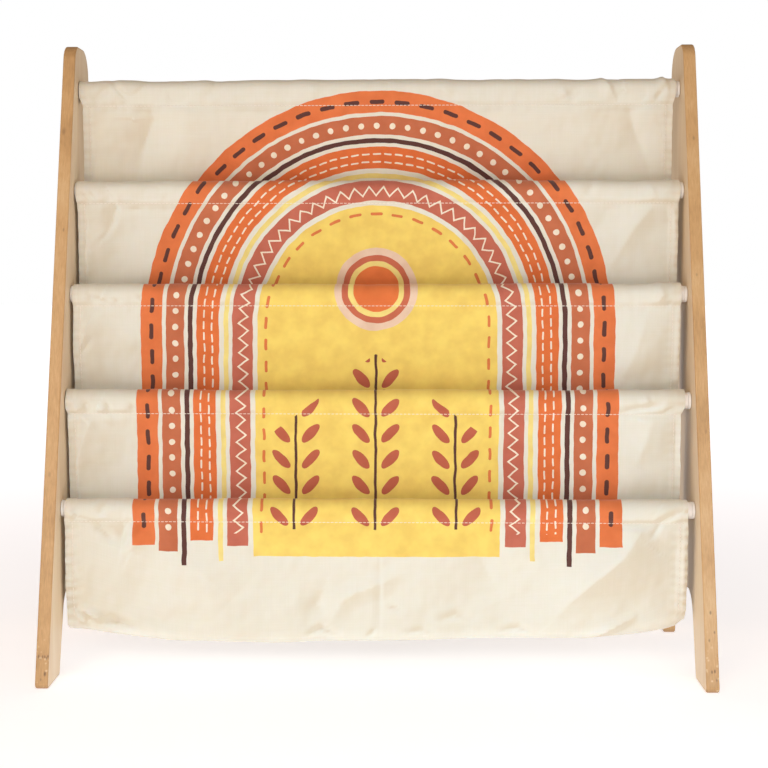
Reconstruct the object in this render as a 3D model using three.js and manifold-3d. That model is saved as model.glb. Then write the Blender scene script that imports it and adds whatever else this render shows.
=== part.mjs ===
// Sling bookshelf for a child's room, in millimetres, with +Z up.
// Two side boards stand on the floor, and five white rods between them carry one
// long cloth that hangs in four book pockets, each a step lower and further forward.
// The origin is on the floor, under the middle of the shelf. The front faces -Y.

import * as THREE from 'three';
import { mergeVertices } from 'three/addons/utils/BufferGeometryUtils.js';
import Module from 'manifold-3d';

const wasm = await Module();
wasm.setup();

// Driving dimensions of the whole shelf
const overallWidth = 620;
const overallHeight = 600;
const topDepth = 62;
const frontRun = 176;
const backRun = 52;
const boardThickness = 12;

// Side board outline
const footDepth = 55;
const legDepthAtArch = 61;
const archHeight = 75;
const archRadius = 25;
const topFrontRadius = 18;
const topBackRadius = 26;
const footCornerRadius = 5;
const boardEdgeRadius = 1.5;

// Rods: five at the front, evenly spaced, and one low at the back
const frontRodCount = 5;
const rodDiameter = 16;
const rodWall = 1;
const topRodBelowTop = 43;
const lowestRodHeight = 155;
const rodBehindFrontEdge = 30;
const backRodAboveArch = 40;
const backRodBeforeBackEdge = 30;

// End plugs pressed into the rods, with a flange against the board
const plugFlangeThickness = 2.5;
const plugStemLength = 20;

// Countersunk socket screws through the boards into the plugs
const screwDiameter = 6;
const screwHeadDiameter = 12;
const screwHeadRim = 0.6;
const screwPastBoard = 18;
const screwHeadSunk = 0.2;
const socketAcrossFlats = 4;
const socketDepth = 2.4;

// Sling cloth
const clothThickness = 2;
const clothToBoard = 5;
const seamBelowSleeve = 5;
const lowestFoldHeight = 27;
const pocketCornerRise = 16;
const cornerRisePower = 3;

// Fits and cuts
const clearance = 0.3;
const screwClearance = 0.4;
const cutOverrun = 1;

// Faces round each kind of curve
const rodFaces = 24;
const plugAndScrewFaces = 20;
const socketSides = 6;
const cornerHalfFaces = 3;
const boardEdgeFaces = 2;
const foldFaces = 8;
const clothColumns = 16;
const wallRows = 3;

// The outline's sharp corners at the floor. Rounding a foot trims it a little,
// and the shelf is centred on what is left.
const outlineDepth = frontRun + topDepth + backRun;
const trimAtFloor = (run) => {
  const halfCorner = Math.atan2(overallHeight, run) / 2;
  return footCornerRadius * (1 / Math.tan(halfCorner) - 1);
};
const frontAtFloor = -(outlineDepth + trimAtFloor(frontRun) - trimAtFloor(backRun)) / 2;
const backAtFloor = frontAtFloor + outlineDepth;

// Worked out from the sizes above
const rodStep = (overallHeight - topRodBelowTop - lowestRodHeight) / (frontRodCount - 1);
const backRodHeight = archHeight + backRodAboveArch;
const pocketDepth = lowestRodHeight - lowestFoldHeight;
const clothWidth = overallWidth - 2 * (boardThickness + clothToBoard);
const rodRadius = rodDiameter / 2;
const rodBoreRadius = rodRadius - rodWall;
const screwRadius = screwDiameter / 2;
const screwHeadRadius = screwHeadDiameter / 2;
const screwConeDepth = screwHeadRadius - screwRadius;

const frontEdgeAt = (height) => frontAtFloor + frontRun * height / overallHeight;
const backEdgeAt = (height) => backAtFloor - backRun * height / overallHeight;

// One colour and finish for each material that shows
const beech = new THREE.MeshStandardMaterial({ color: 0xd9b98a, roughness: 0.55, metalness: 0 });
const whiteEnamel = new THREE.MeshStandardMaterial({ color: 0xf4f2ee, roughness: 0.3, metalness: 0 });
const whitePlastic = new THREE.MeshStandardMaterial({ color: 0xefeeea, roughness: 0.45, metalness: 0 });
const zincSteel = new THREE.MeshStandardMaterial({ color: 0xb9bcc0, roughness: 0.35, metalness: 1 });
const canvasCloth = new THREE.MeshStandardMaterial({ color: 0xe9dcc6, roughness: 0.9, metalness: 0 });

const shelf = new THREE.Group();

function addPiece(name, geometry, material) {
  const piece = new THREE.Mesh(geometry, material.clone());
  piece.name = name;
  shelf.add(piece);
}

// Turns a closed mesh into a solid that can be cut, and back again
function solidOf(geometry) {
  const bare = geometry.clone();
  for (const name of Object.keys(bare.attributes)) {
    if (name !== 'position') bare.deleteAttribute(name);
  }
  const welded = mergeVertices(bare);
  return new wasm.Manifold(new wasm.Mesh({
    numProp: 3,
    vertProperties: new Float32Array(welded.attributes.position.array),
    triVerts: new Uint32Array(welded.index.array),
  }));
}

function geometryOf(solid) {
  const mesh = solid.getMesh();
  const geometry = new THREE.BufferGeometry();
  geometry.setAttribute('position', new THREE.BufferAttribute(new Float32Array(mesh.vertProperties), 3));
  geometry.setIndex(new THREE.BufferAttribute(new Uint32Array(mesh.triVerts), 1));
  geometry.computeVertexNormals();
  return geometry;
}

// A shape drawn across (Y, Z) and extruded along X, centred on a plane of X.
// Each arc of the shape gets twice halfFaces.
function extrudeAlongX(shape, length, middle, halfFaces, edgeRadius) {
  const geometry = new THREE.ExtrudeGeometry(shape, {
    depth: length - 2 * edgeRadius,
    steps: 1,
    curveSegments: halfFaces,
    bevelEnabled: edgeRadius > 0,
    bevelThickness: edgeRadius,
    bevelSize: edgeRadius,
    bevelOffset: -edgeRadius,
    bevelSegments: boardEdgeFaces,
  });
  const turn = new THREE.Matrix4().makeBasis(
    new THREE.Vector3(0, 1, 0),
    new THREE.Vector3(0, 0, 1),
    new THREE.Vector3(1, 0, 0),
  );
  geometry.applyMatrix4(turn);
  geometry.translate(middle - length / 2 + edgeRadius, 0, 0);
  return geometry;
}

// A profile of [radius, distance in from the outer face of a side board], turned round a rod's axis
function turnedFromSide(profile, faces, side, axis) {
  const points = profile.map(([radius, along]) => new THREE.Vector2(radius, along));
  const geometry = new THREE.LatheGeometry(points, faces);
  geometry.rotateZ(side * Math.PI / 2);
  geometry.translate(side * overallWidth / 2, axis.y, axis.z);
  return geometry;
}

// A closed outline whose corners are [y, z, radius], with each corner rounded by an arc
function roundedOutline(corners) {
  const shape = new THREE.Shape();
  corners.forEach(([y, z, radius], index) => {
    const before = corners[(index + corners.length - 1) % corners.length];
    const after = corners[(index + 1) % corners.length];
    const corner = new THREE.Vector2(y, z);
    const toBefore = new THREE.Vector2(before[0], before[1]).sub(corner).normalize();
    const toAfter = new THREE.Vector2(after[0], after[1]).sub(corner).normalize();
    const halfAngle = Math.acos(THREE.MathUtils.clamp(toBefore.dot(toAfter), -1, 1)) / 2;
    const tangent = radius / Math.tan(halfAngle);
    const start = corner.clone().addScaledVector(toBefore, tangent);
    const end = corner.clone().addScaledVector(toAfter, tangent);
    const toCentre = toBefore.clone().add(toAfter).normalize();
    const centre = corner.clone().addScaledVector(toCentre, radius / Math.sin(halfAngle));
    const startAngle = Math.atan2(start.y - centre.y, start.x - centre.x);
    const endAngle = Math.atan2(end.y - centre.y, end.x - centre.x);
    const clockwise = toBefore.cross(toAfter) > 0;
    if (index === 0) shape.moveTo(start.x, start.y);
    else shape.lineTo(start.x, start.y);
    shape.absarc(centre.x, centre.y, radius, startAngle, endAngle, clockwise);
  });
  return shape;
}

// Where each rod runs, seen from the side
const frontRods = [];
for (let index = 0; index < frontRodCount; index += 1) {
  const z = overallHeight - topRodBelowTop - index * rodStep;
  frontRods.push({ name: `rod_${index + 1}`, y: frontEdgeAt(z) + rodBehindFrontEdge, z });
}
const backRod = { name: 'back_rod', y: backEdgeAt(backRodHeight) - backRodBeforeBackEdge, z: backRodHeight };
const allRods = [...frontRods, backRod];

// Side boards: one tapered board each, with an arch cut out between its two feet
const sideOutline = roundedOutline([
  [frontAtFloor, 0, footCornerRadius],
  [frontAtFloor + footDepth, 0, footCornerRadius],
  [frontEdgeAt(archHeight) + legDepthAtArch, archHeight, archRadius],
  [backEdgeAt(archHeight) - legDepthAtArch, archHeight, archRadius],
  [backAtFloor - footDepth, 0, footCornerRadius],
  [backAtFloor, 0, footCornerRadius],
  [backEdgeAt(overallHeight), overallHeight, topBackRadius],
  [frontEdgeAt(overallHeight), overallHeight, topFrontRadius],
]);

// The hole for one screw: a countersink at the outer face, then a clear hole right through
const screwHoleProfile = [
  [0, -cutOverrun],
  [screwHeadRadius + screwClearance, -cutOverrun],
  [screwHeadRadius + screwClearance, screwHeadSunk + screwHeadRim],
  [screwRadius + screwClearance, screwHeadSunk + screwHeadRim + screwConeDepth],
  [screwRadius + screwClearance, boardThickness + cutOverrun],
  [0, boardThickness + cutOverrun],
];

function addSideBoard(name, side) {
  const middle = side * (overallWidth - boardThickness) / 2;
  let board = solidOf(extrudeAlongX(sideOutline, boardThickness, middle, cornerHalfFaces, boardEdgeRadius));
  for (const axis of allRods) {
    board = board.subtract(solidOf(turnedFromSide(screwHoleProfile, plugAndScrewFaces, side, axis)));
  }
  addPiece(name, geometryOf(board), beech);
}

// Rods: steel tubes between the flanges of their two end plugs
const flangeStart = boardThickness + clearance;
const tubeStart = flangeStart + plugFlangeThickness + clearance;
const tubeEnd = overallWidth - tubeStart;

function addRod(axis) {
  const profile = [
    [rodBoreRadius, tubeStart],
    [rodRadius, tubeStart],
    [rodRadius, tubeEnd],
    [rodBoreRadius, tubeEnd],
    [rodBoreRadius, tubeStart],
  ];
  addPiece(axis.name, turnedFromSide(profile, rodFaces, 1, axis), whiteEnamel);
}

// Plugs: a flange as wide as the rod, and a stem inside it that takes the screw
const plugStemRadius = rodBoreRadius - clearance;
const plugBoreRadius = screwRadius + clearance;
const plugFlangeEnd = flangeStart + plugFlangeThickness;
const plugEnd = plugFlangeEnd + plugStemLength;

function addPlug(axis, side, sideName) {
  const name = `${axis.name}_plug_${sideName}`;
  const profile = [
    [plugBoreRadius, flangeStart],
    [rodRadius, flangeStart],
    [rodRadius, plugFlangeEnd],
    [plugStemRadius, plugFlangeEnd],
    [plugStemRadius, plugEnd],
    [plugBoreRadius, plugEnd],
    [plugBoreRadius, flangeStart],
  ];
  addPiece(name, turnedFromSide(profile, plugAndScrewFaces, side, axis), whitePlastic);
}

// Screws: a countersunk head with a hexagon socket, just under the face of the board
function addScrew(axis, side, sideName) {
  const headEdge = screwHeadSunk + screwHeadRim;
  const profile = [
    [0, screwHeadSunk],
    [screwHeadRadius, screwHeadSunk],
    [screwHeadRadius, headEdge],
    [screwRadius, headEdge + screwConeDepth],
    [screwRadius, boardThickness + screwPastBoard],
    [0, boardThickness + screwPastBoard],
  ];
  const body = solidOf(turnedFromSide(profile, plugAndScrewFaces, side, axis));
  const socketRadius = socketAcrossFlats / (2 * Math.cos(Math.PI / socketSides));
  const socketHeight = socketDepth + cutOverrun;
  const socketMiddle = overallWidth / 2 - screwHeadSunk - socketDepth + socketHeight / 2;
  const socket = new THREE.CylinderGeometry(socketRadius, socketRadius, socketHeight, socketSides);
  socket.rotateZ(side * Math.PI / 2);
  socket.translate(side * socketMiddle, axis.y, axis.z);
  addPiece(`${axis.name}_screw_${sideName}`, geometryOf(body.subtract(solidOf(socket))), zincSteel);
}

// Sleeves: the cloth doubled round a rod and sewn to itself just below it
const sleeveBoreRadius = rodRadius + clearance;
const sleeveRadius = sleeveBoreRadius + clothThickness;
const seamHalf = clothThickness + clearance / 2;
const seamDrop = sleeveRadius + seamBelowSleeve;

function addSleeve(name, axis) {
  const seamReach = Math.hypot(seamHalf, seamDrop);
  const seamAngle = Math.atan2(seamHalf, seamDrop);
  const wrapAngle = Math.acos(sleeveRadius / seamReach) + seamAngle;
  const outline = new THREE.Shape();
  outline.moveTo(axis.y - seamHalf, axis.z - seamDrop);
  outline.lineTo(axis.y + seamHalf, axis.z - seamDrop);
  outline.absarc(axis.y, axis.z, sleeveRadius, wrapAngle - Math.PI / 2, 3 * Math.PI / 2 - wrapAngle, false);
  outline.closePath();
  const bore = new THREE.Path();
  bore.absarc(axis.y, axis.z, sleeveBoreRadius, 0, 2 * Math.PI, true);
  outline.holes.push(bore);
  addPiece(name, extrudeAlongX(outline, clothWidth, 0, rodFaces / 2, 0), canvasCloth);
}

// A thin closed solid of cloth. centreAt(x, share) gives the middle of the cloth at a place
// across the shelf and along the piece, and the way that its thickness faces there.
function clothSolid(centreAt, rows) {
  const positions = [];
  const indices = [];
  const skinSize = (clothColumns + 1) * (rows + 1);
  for (const skin of [-1, 1]) {
    for (let row = 0; row <= rows; row += 1) {
      for (let column = 0; column <= clothColumns; column += 1) {
        const x = (column / clothColumns - 1 / 2) * clothWidth;
        const { y, z, faceY, faceZ } = centreAt(x, row / rows);
        const offset = skin * clothThickness / 2;
        positions.push(x, y + offset * faceY, z + offset * faceZ);
      }
    }
  }
  const vertex = (skin, row, column) => skin * skinSize + row * (clothColumns + 1) + column;
  const addQuad = (a, b, c, d) => indices.push(a, c, b, a, d, c);
  for (let row = 0; row < rows; row += 1) {
    for (let column = 0; column < clothColumns; column += 1) {
      addQuad(vertex(0, row, column), vertex(0, row + 1, column),
        vertex(0, row + 1, column + 1), vertex(0, row, column + 1));
      addQuad(vertex(1, row, column), vertex(1, row, column + 1),
        vertex(1, row + 1, column + 1), vertex(1, row + 1, column));
    }
  }
  for (let column = 0; column < clothColumns; column += 1) {
    addQuad(vertex(0, 0, column), vertex(0, 0, column + 1), vertex(1, 0, column + 1), vertex(1, 0, column));
    addQuad(vertex(0, rows, column), vertex(1, rows, column),
      vertex(1, rows, column + 1), vertex(0, rows, column + 1));
  }
  for (let row = 0; row < rows; row += 1) {
    addQuad(vertex(0, row, 0), vertex(1, row, 0), vertex(1, row + 1, 0), vertex(0, row + 1, 0));
    addQuad(vertex(0, row, clothColumns), vertex(0, row + 1, clothColumns),
      vertex(1, row + 1, clothColumns), vertex(1, row, clothColumns));
  }
  const geometry = new THREE.BufferGeometry();
  geometry.setAttribute('position', new THREE.Float32BufferAttribute(positions, 3));
  geometry.setIndex(indices);
  geometry.computeVertexNormals();
  return geometry;
}

// A pocket: its back wall hangs from one rod, its front wall from the next rod down,
// and they meet in a round fold that hangs lowest at the middle of the shelf. A front wall
// hangs from the rear of its rod, where side is 1, or from the front of it, where side is -1.
const wallOffset = (clothThickness + clearance) / 2;
const cornerRise = (x) => pocketCornerRise * Math.abs(2 * x / clothWidth) ** cornerRisePower;

function addPocket(name, rearRod, frontRod, side) {
  const backY = rearRod.y - wallOffset;
  const frontY = frontRod.y + side * wallOffset;
  const foldRadius = (backY - frontY) / 2;
  const foldCentreAt = (x) => frontRod.z - pocketDepth + cornerRise(x) + foldRadius + clothThickness / 2;
  const wallAt = (y, top) => (x, share) => {
    const bottom = foldCentreAt(x) + clearance;
    return { y, z: bottom + (top - bottom) * share, faceY: 1, faceZ: 0 };
  };
  const foldAt = (x, share) => {
    const angle = share * Math.PI;
    const faceY = Math.cos(angle);
    const faceZ = -Math.sin(angle);
    const y = (backY + frontY) / 2 + foldRadius * faceY;
    const z = foldCentreAt(x) + foldRadius * faceZ;
    return { y, z, faceY: -faceY, faceZ: -faceZ };
  };
  const backTop = rearRod.z - seamDrop - clearance;
  const frontTop = frontRod.z - seamDrop - clearance;
  addPiece(`${name}_back`, clothSolid(wallAt(backY, backTop), wallRows), canvasCloth);
  addPiece(`${name}_fold`, clothSolid(foldAt, foldFaces), canvasCloth);
  addPiece(`${name}_front`, clothSolid(wallAt(frontY, frontTop), wallRows), canvasCloth);
}

addSideBoard('side_board_left', -1);
addSideBoard('side_board_right', 1);
for (const axis of allRods) {
  addRod(axis);
  addPlug(axis, -1, 'left');
  addPlug(axis, 1, 'right');
  addScrew(axis, -1, 'left');
  addScrew(axis, 1, 'right');
}
frontRods.forEach((axis, index) => addSleeve(`sling_sleeve_${index + 1}`, axis));
for (let index = 0; index + 1 < frontRodCount; index += 1) {
  const isLowest = index + 2 === frontRodCount;
  addPocket(`sling_pocket_${index + 1}`, frontRods[index], frontRods[index + 1], isLowest ? -1 : 1);
}

export default shelf;
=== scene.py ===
# %% [markdown]
# # A child's sling bookshelf
# Two tapered boards stand on the floor. Five white rods between them carry a canvas sling,
# which hangs in four book pockets, each a step lower and further forward than the last.
# The measured solids come from the frame that this file loads. They could be dressed as they
# are, but cloth, turned edges and stitches need far more points than a solid for weighing
# does. So each one is replaced by a finer piece that is placed from the solid's own box.

# %% Load the measured frame
import math

import bmesh
import bpy
from mathutils import Matrix, Quaternion, Vector, noise


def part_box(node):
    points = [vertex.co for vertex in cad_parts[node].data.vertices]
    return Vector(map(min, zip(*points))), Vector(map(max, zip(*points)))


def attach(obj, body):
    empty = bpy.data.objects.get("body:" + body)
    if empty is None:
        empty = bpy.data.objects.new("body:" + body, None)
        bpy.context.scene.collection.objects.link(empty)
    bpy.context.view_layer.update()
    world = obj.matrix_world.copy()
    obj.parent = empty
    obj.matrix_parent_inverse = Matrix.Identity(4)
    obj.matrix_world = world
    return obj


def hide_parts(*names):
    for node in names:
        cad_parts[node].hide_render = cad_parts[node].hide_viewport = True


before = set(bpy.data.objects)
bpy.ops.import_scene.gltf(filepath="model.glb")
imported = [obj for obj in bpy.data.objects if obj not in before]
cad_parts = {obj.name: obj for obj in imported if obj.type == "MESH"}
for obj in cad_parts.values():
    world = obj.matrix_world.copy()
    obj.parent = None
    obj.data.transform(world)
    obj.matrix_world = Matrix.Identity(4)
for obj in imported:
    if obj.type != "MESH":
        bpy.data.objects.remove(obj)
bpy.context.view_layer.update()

MM = 0.001

# %% [markdown]
# ## Sizes
# The rods are where the solids put them, so their middles are read from the boxes. The side
# boards' outline can't be read from a box, so its few sizes stand here. A table of corner
# points would do as well, but sizes with names say what each corner is for.

# %% Sizes of the shelf
ROD_NAMES = ["rod_1", "rod_2", "rod_3", "rod_4", "rod_5", "back_rod"]
board_thickness = 12 * MM
front_run = 176 * MM
back_run = 52 * MM
top_depth = 62 * MM
foot_depth = 55 * MM
leg_depth_at_arch = 61 * MM
arch_height = 75 * MM
foot_corner_radius = 5 * MM
arch_radius = 25 * MM
top_front_radius = 18 * MM
top_back_radius = 26 * MM
board_edge_radius = 1.5 * MM
rod_radius = 8 * MM


def middle_of(node):
    low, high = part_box(node)
    return (low + high) / 2


rods = [middle_of(name) for name in ROD_NAMES]
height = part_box("side_board_left")[1].z
outer_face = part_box("side_board_right")[1].x
inner_face = outer_face - board_thickness
print("rod heights in mm:", [round(rod.z / MM, 1) for rod in rods])

# %% [markdown]
# ## Camera
# The photograph was taken from the front, a little above the middle of the shelf, with a
# short telephoto lens. The board edges, rods and feet were measured in the photograph, and a
# camera was fitted to them. The shelf's middle lies left of the lens's axis, so the frame is
# shifted a little sideways, as a crop does.

# %% Camera
camera_place = Vector((18.3, -1577.2, 398.4)) * MM
camera_yaw = math.radians(-1.49)
camera_pitch = math.radians(4.74)
camera_roll = math.radians(-0.04)

lens = bpy.data.cameras.new("camera")
lens.sensor_width = 36
lens.lens = 75.7
lens.shift_x = 0.0388
lens.clip_end = 50
camera = bpy.data.objects.new("camera", lens)
bpy.context.collection.objects.link(camera)
view_line = Vector((
    math.sin(camera_yaw) * math.cos(camera_pitch),
    math.cos(camera_yaw) * math.cos(camera_pitch),
    -math.sin(camera_pitch),
))
level_turn = view_line.to_track_quat("-Z", "Y")
camera.rotation_mode = "QUATERNION"
camera.rotation_quaternion = level_turn @ Quaternion((0, 0, 1), camera_roll)
camera.location = camera_place
bpy.context.scene.camera = camera
print("camera:", round(lens.lens, 1), "mm lens,", round(camera_place.length, 2), "m from the origin")

# %% [markdown]
# ## Helpers for modelling
# An operator works on whatever is selected. These few helpers put one piece in edit mode,
# pick its points, edges or faces by their place, and settle a finished piece at the origin.

# %% Helpers for modelling
near_enough = 0.01 * MM
squarely = 0.99


def choose(piece=None):
    """Leave edit mode, and select one piece or none."""
    if bpy.context.mode != "OBJECT":
        bpy.ops.object.mode_set(mode="OBJECT")
    bpy.ops.object.select_all(action="DESELECT")
    if piece:
        piece.select_set(True)
        bpy.context.view_layer.objects.active = piece


def edit(piece, kind):
    """Put one piece, and no other, in edit mode, with nothing on it selected."""
    choose(piece)
    bpy.ops.object.mode_set(mode="EDIT")
    bpy.ops.mesh.select_mode(type=kind)
    bpy.ops.mesh.select_all(action="DESELECT")


def pick_edges(piece, test):
    """Select the edges whose two ends both pass the test."""
    edit(piece, "EDGE")
    mesh = bmesh.from_edit_mesh(piece.data)
    for edge in mesh.edges:
        edge.select_set(all(test(point.co) for point in edge.verts))
    bmesh.update_edit_mesh(piece.data)


def pick_faces(piece, test):
    """Select the faces that pass a test of their middle and their normal."""
    edit(piece, "FACE")
    mesh = bmesh.from_edit_mesh(piece.data)
    for face in mesh.faces:
        face.select_set(test(face.calc_center_median(), face.normal))
    bmesh.update_edit_mesh(piece.data)


def added(name):
    """Name the primitive that was just added, and put its place in its mesh."""
    piece = bpy.context.active_object
    bpy.ops.object.transform_apply(location=True, rotation=True, scale=True)
    piece.name = name
    piece.data.name = name
    return piece


def added_cylinder(name, low_x, high_x, radius, points_round, axis, ends="NGON"):
    """A cylinder along X between two places, round an axis through a point."""
    choose()
    bpy.ops.mesh.primitive_cylinder_add(
        vertices=points_round, radius=radius, depth=high_x - low_x, end_fill_type=ends,
        location=((low_x + high_x) / 2, axis.y, axis.z), rotation=(0, math.pi / 2, 0),
    )
    return added(name)


def extrude(distance, widen=1):
    """Draw the selected faces out along X, and resize what is drawn out across X."""
    bpy.ops.mesh.extrude_region_move(TRANSFORM_OT_translate={"value": (distance, 0, 0)})
    if widen != 1:
        bpy.ops.transform.resize(value=(1, widen, widen))


def apply_modifier(piece, kind, **settings):
    """Add one modifier to a piece and apply it."""
    choose(piece)
    modifier = piece.modifiers.new(kind.lower(), kind)
    for setting, value in settings.items():
        setattr(modifier, setting, value)
    bpy.ops.object.modifier_apply(modifier=modifier.name)


def cut(piece, cutter):
    """Take the cutter's shape out of a piece, and throw the cutter away."""
    apply_modifier(piece, "BOOLEAN", operation="DIFFERENCE", object=cutter, solver="EXACT")
    bpy.data.objects.remove(cutter)


def smooth(piece, angle=30):
    """Shade a piece smooth, but leave edges sharper than the angle crisp."""
    choose(piece)
    bpy.ops.object.shade_smooth_by_angle(angle=math.radians(angle))


def add_mesh(name, points, faces):
    """A piece that is made of points and faces."""
    mesh = bpy.data.meshes.new(name)
    mesh.from_pydata(points, [], faces)
    piece = bpy.data.objects.new(name, mesh)
    bpy.context.collection.objects.link(piece)
    return piece


def copy_of(piece, name, move):
    """A copy with its own mesh, with the move put in the mesh."""
    twin = piece.copy()
    twin.data = piece.data.copy()
    twin.name = name
    twin.data.name = name
    twin.data.transform(move)
    if move.determinant() < 0:
        twin.data.flip_normals()
    bpy.context.collection.objects.link(twin)
    return twin


def finish_piece(piece, nodes):
    """Fix a piece to the shelf, and hide the solids it stands for."""
    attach(piece, "root")
    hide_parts(*nodes)


print("helpers ready")

# %% [markdown]
# ## Helpers for materials
# Colours are written as the hex values that a colour picker shows, and one function turns
# them to the linear values that the renderer works in. One more function adds any node, with
# its settings and its links, so that a material reads as a list of nodes.

# %% Helpers for materials
def srgb(code):
    """A hex colour as linear red, green, blue and alpha."""
    parts = [int(code[at:at + 2], 16) / 255 for at in (1, 3, 5)]
    linear = [part / 12.92 if part <= 0.04045 else ((part + 0.055) / 1.055) ** 2.4 for part in parts]
    return (*linear, 1)


def add_node(tree, kind, inputs=None, stops=(), **settings):
    """Add a shader node. An input is a value, a socket to link from, or a node, whose first
    output in use is linked. Stops are the (place, colour) pairs of a colour ramp, grey as a number."""
    node = tree.nodes.new("ShaderNode" + kind)
    for name, value in settings.items():
        setattr(node, name, value)
    for key, value in (inputs or {}).items():
        if isinstance(key, str):
            socket = next(socket for socket in node.inputs if socket.enabled and socket.name == key)
        else:
            socket = node.inputs[key]
        if isinstance(value, bpy.types.Node):
            value = next(output for output in value.outputs if output.enabled)
        if isinstance(value, bpy.types.NodeSocket):
            tree.links.new(value, socket)
        else:
            socket.default_value = value
    for index, (place, colour) in enumerate(stops):
        elements = node.color_ramp.elements
        element = elements[index] if index < len(elements) else elements.new(place)
        element.position = place
        element.color = srgb(colour) if isinstance(colour, str) else (colour, colour, colour, 1)
    return node


def new_material(name, **constants):
    """An empty material, its node tree and its shader, with constants on the shader's sockets."""
    material = bpy.data.materials.new(name)
    material.use_nodes = True
    shader = material.node_tree.nodes["Principled BSDF"]
    for socket, value in constants.items():
        shader.inputs[socket.replace("_", " ")].default_value = value
    return material, material.node_tree, shader


def dress(tree, shader, colour, height, strength, depth):
    """Join a colour and a fine relief to a shader."""
    bump = add_node(tree, "Bump", {"Height": height, "Strength": strength, "Distance": depth})
    tree.links.new(bump.outputs["Normal"], shader.inputs["Normal"])
    tree.links.new(next(out for out in colour.outputs if out.enabled), shader.inputs["Base Color"])


print("material helpers ready")

# %% [markdown]
# ## The room
# The photograph is a studio shot on pure white. A pale floor under a white surround gives
# the same even light. Three things in it tell where the lamps stood. The sleeves are darker
# on top than in front, so the main light came from the front. Pleats are dark below, so it
# stood a little above the shelf. And each sleeve throws a narrow, faint band of shadow up on
# the cloth behind it, so a weaker light came from low in front.

# %% Floor and surround
choose()
bpy.ops.mesh.primitive_plane_add(size=14, location=(0, 3, 0))
floor = added("floor")
floor_white, floor_tree, floor_shader = new_material("matt_white_studio_floor", Roughness=0.9)
floor_cloud = add_node(floor_tree, "TexNoise", {"Scale": 3.0, "Detail": 2.0})
floor_tone = add_node(
    floor_tree, "ValToRGB", {"Fac": floor_cloud}, stops=[(0.3, "#f1efec"), (0.7, "#f4f2f0")])
floor_tree.links.new(floor_tone.outputs["Color"], floor_shader.inputs["Base Color"])
# The floor glows a little, and more so far off, where it meets the surround without an edge
glow_here, glow_far_off, glow_reach = 0.52, 1.0, 2.0
floor_place = add_node(floor_tree, "TexCoord").outputs["Object"]
far_off = add_node(floor_tree, "VectorMath", {0: floor_place}, operation="LENGTH").outputs["Value"]
glow = add_node(floor_tree, "MapRange", {
    "Value": far_off, "From Max": glow_reach, "To Min": glow_here, "To Max": glow_far_off})
floor_tree.links.new(glow.outputs[0], floor_shader.inputs["Emission Strength"])
floor_shader.inputs["Emission Color"].default_value = srgb("#f6f8ff")
floor.data.materials.append(floor_white)

surround = bpy.data.worlds.new("white_surround")
surround.use_nodes = True
surround_tree = surround.node_tree
surround_light = surround_tree.nodes["Background"]
straight = add_node(surround_tree, "LightPath").outputs["Is Camera Ray"]
# The surround is seen as white, but it lights the shelf with a dimmer and warmer tone
surround_strength = 0.3
warm_tone = [surround_strength * part for part in srgb("#ffe4c8")[:3]]
tone = add_node(
    surround_tree, "Mix", {0: straight, 6: (*warm_tone, 1), 7: srgb("#ffffff")}, data_type="RGBA")
surround_tree.links.new(tone.outputs[2], surround_light.inputs["Color"])
bpy.context.scene.world = surround
print("floor and surround ready")

# %% Lamps
def add_lamp(name, place, target, width, tall, power, colour, spread=180):
    """A soft lamp, wide by tall, that faces a target. A grid can narrow its spread, in degrees."""
    lamp = bpy.data.lights.new(name, "AREA")
    lamp.shape = "RECTANGLE"
    lamp.size = width
    lamp.size_y = tall
    lamp.energy = power
    lamp.spread = math.radians(spread)
    lamp.color = srgb(colour)[:3]
    stand = bpy.data.objects.new(name, lamp)
    stand.location = place
    stand.rotation_mode = "QUATERNION"
    stand.rotation_quaternion = (Vector(target) - Vector(place)).to_track_quat("-Z", "Y")
    bpy.context.collection.objects.link(stand)


add_lamp("main_left_lamp", (-0.65, -1.9, 1.0), (0, 0, 0.2), 0.8, 0.6, 8.9, "#ffead8")
add_lamp("left_fill_lamp", (-1.7, -1.3, 0.5), (0, 0, 0.3), 1.0, 1.0, 2.8, "#eef8ff")
add_lamp("right_fill_lamp", (1.7, -1.25, 0.85), (0, 0, 0.4), 1.0, 1.0, 4.7, "#eef8ff")
add_lamp("low_front_lamp", (0.25, -1.35, 0.5), (0.12, -0.1, -0.03), 1.0, 0.3, 0.88, "#d2ecff", spread=70)
add_lamp("low_strip_lamp", (0.1, -1.05, 0.15), (0, 0, 0.2), 0.7, 0.06, 0.5, "#ffdcc0")

bpy.context.scene.view_settings.view_transform = "Standard"
bpy.context.scene.view_settings.look = "None"

# %% [markdown]
# ## Wood of the side boards
# The boards are cut from pale plywood. Its faces are light veneer under a satin lacquer,
# which mirrors the white rod ends a little, and its cut edges are browner. One material
# with a mask could do both, but two materials keep each pattern simple. The veneer's grain
# runs up the board, so the noise is drawn out along Z.

# %% Lacquered veneer for the board faces
veneer_grain_width = 2.5 * MM
veneer_grain_length = 90 * MM


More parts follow.
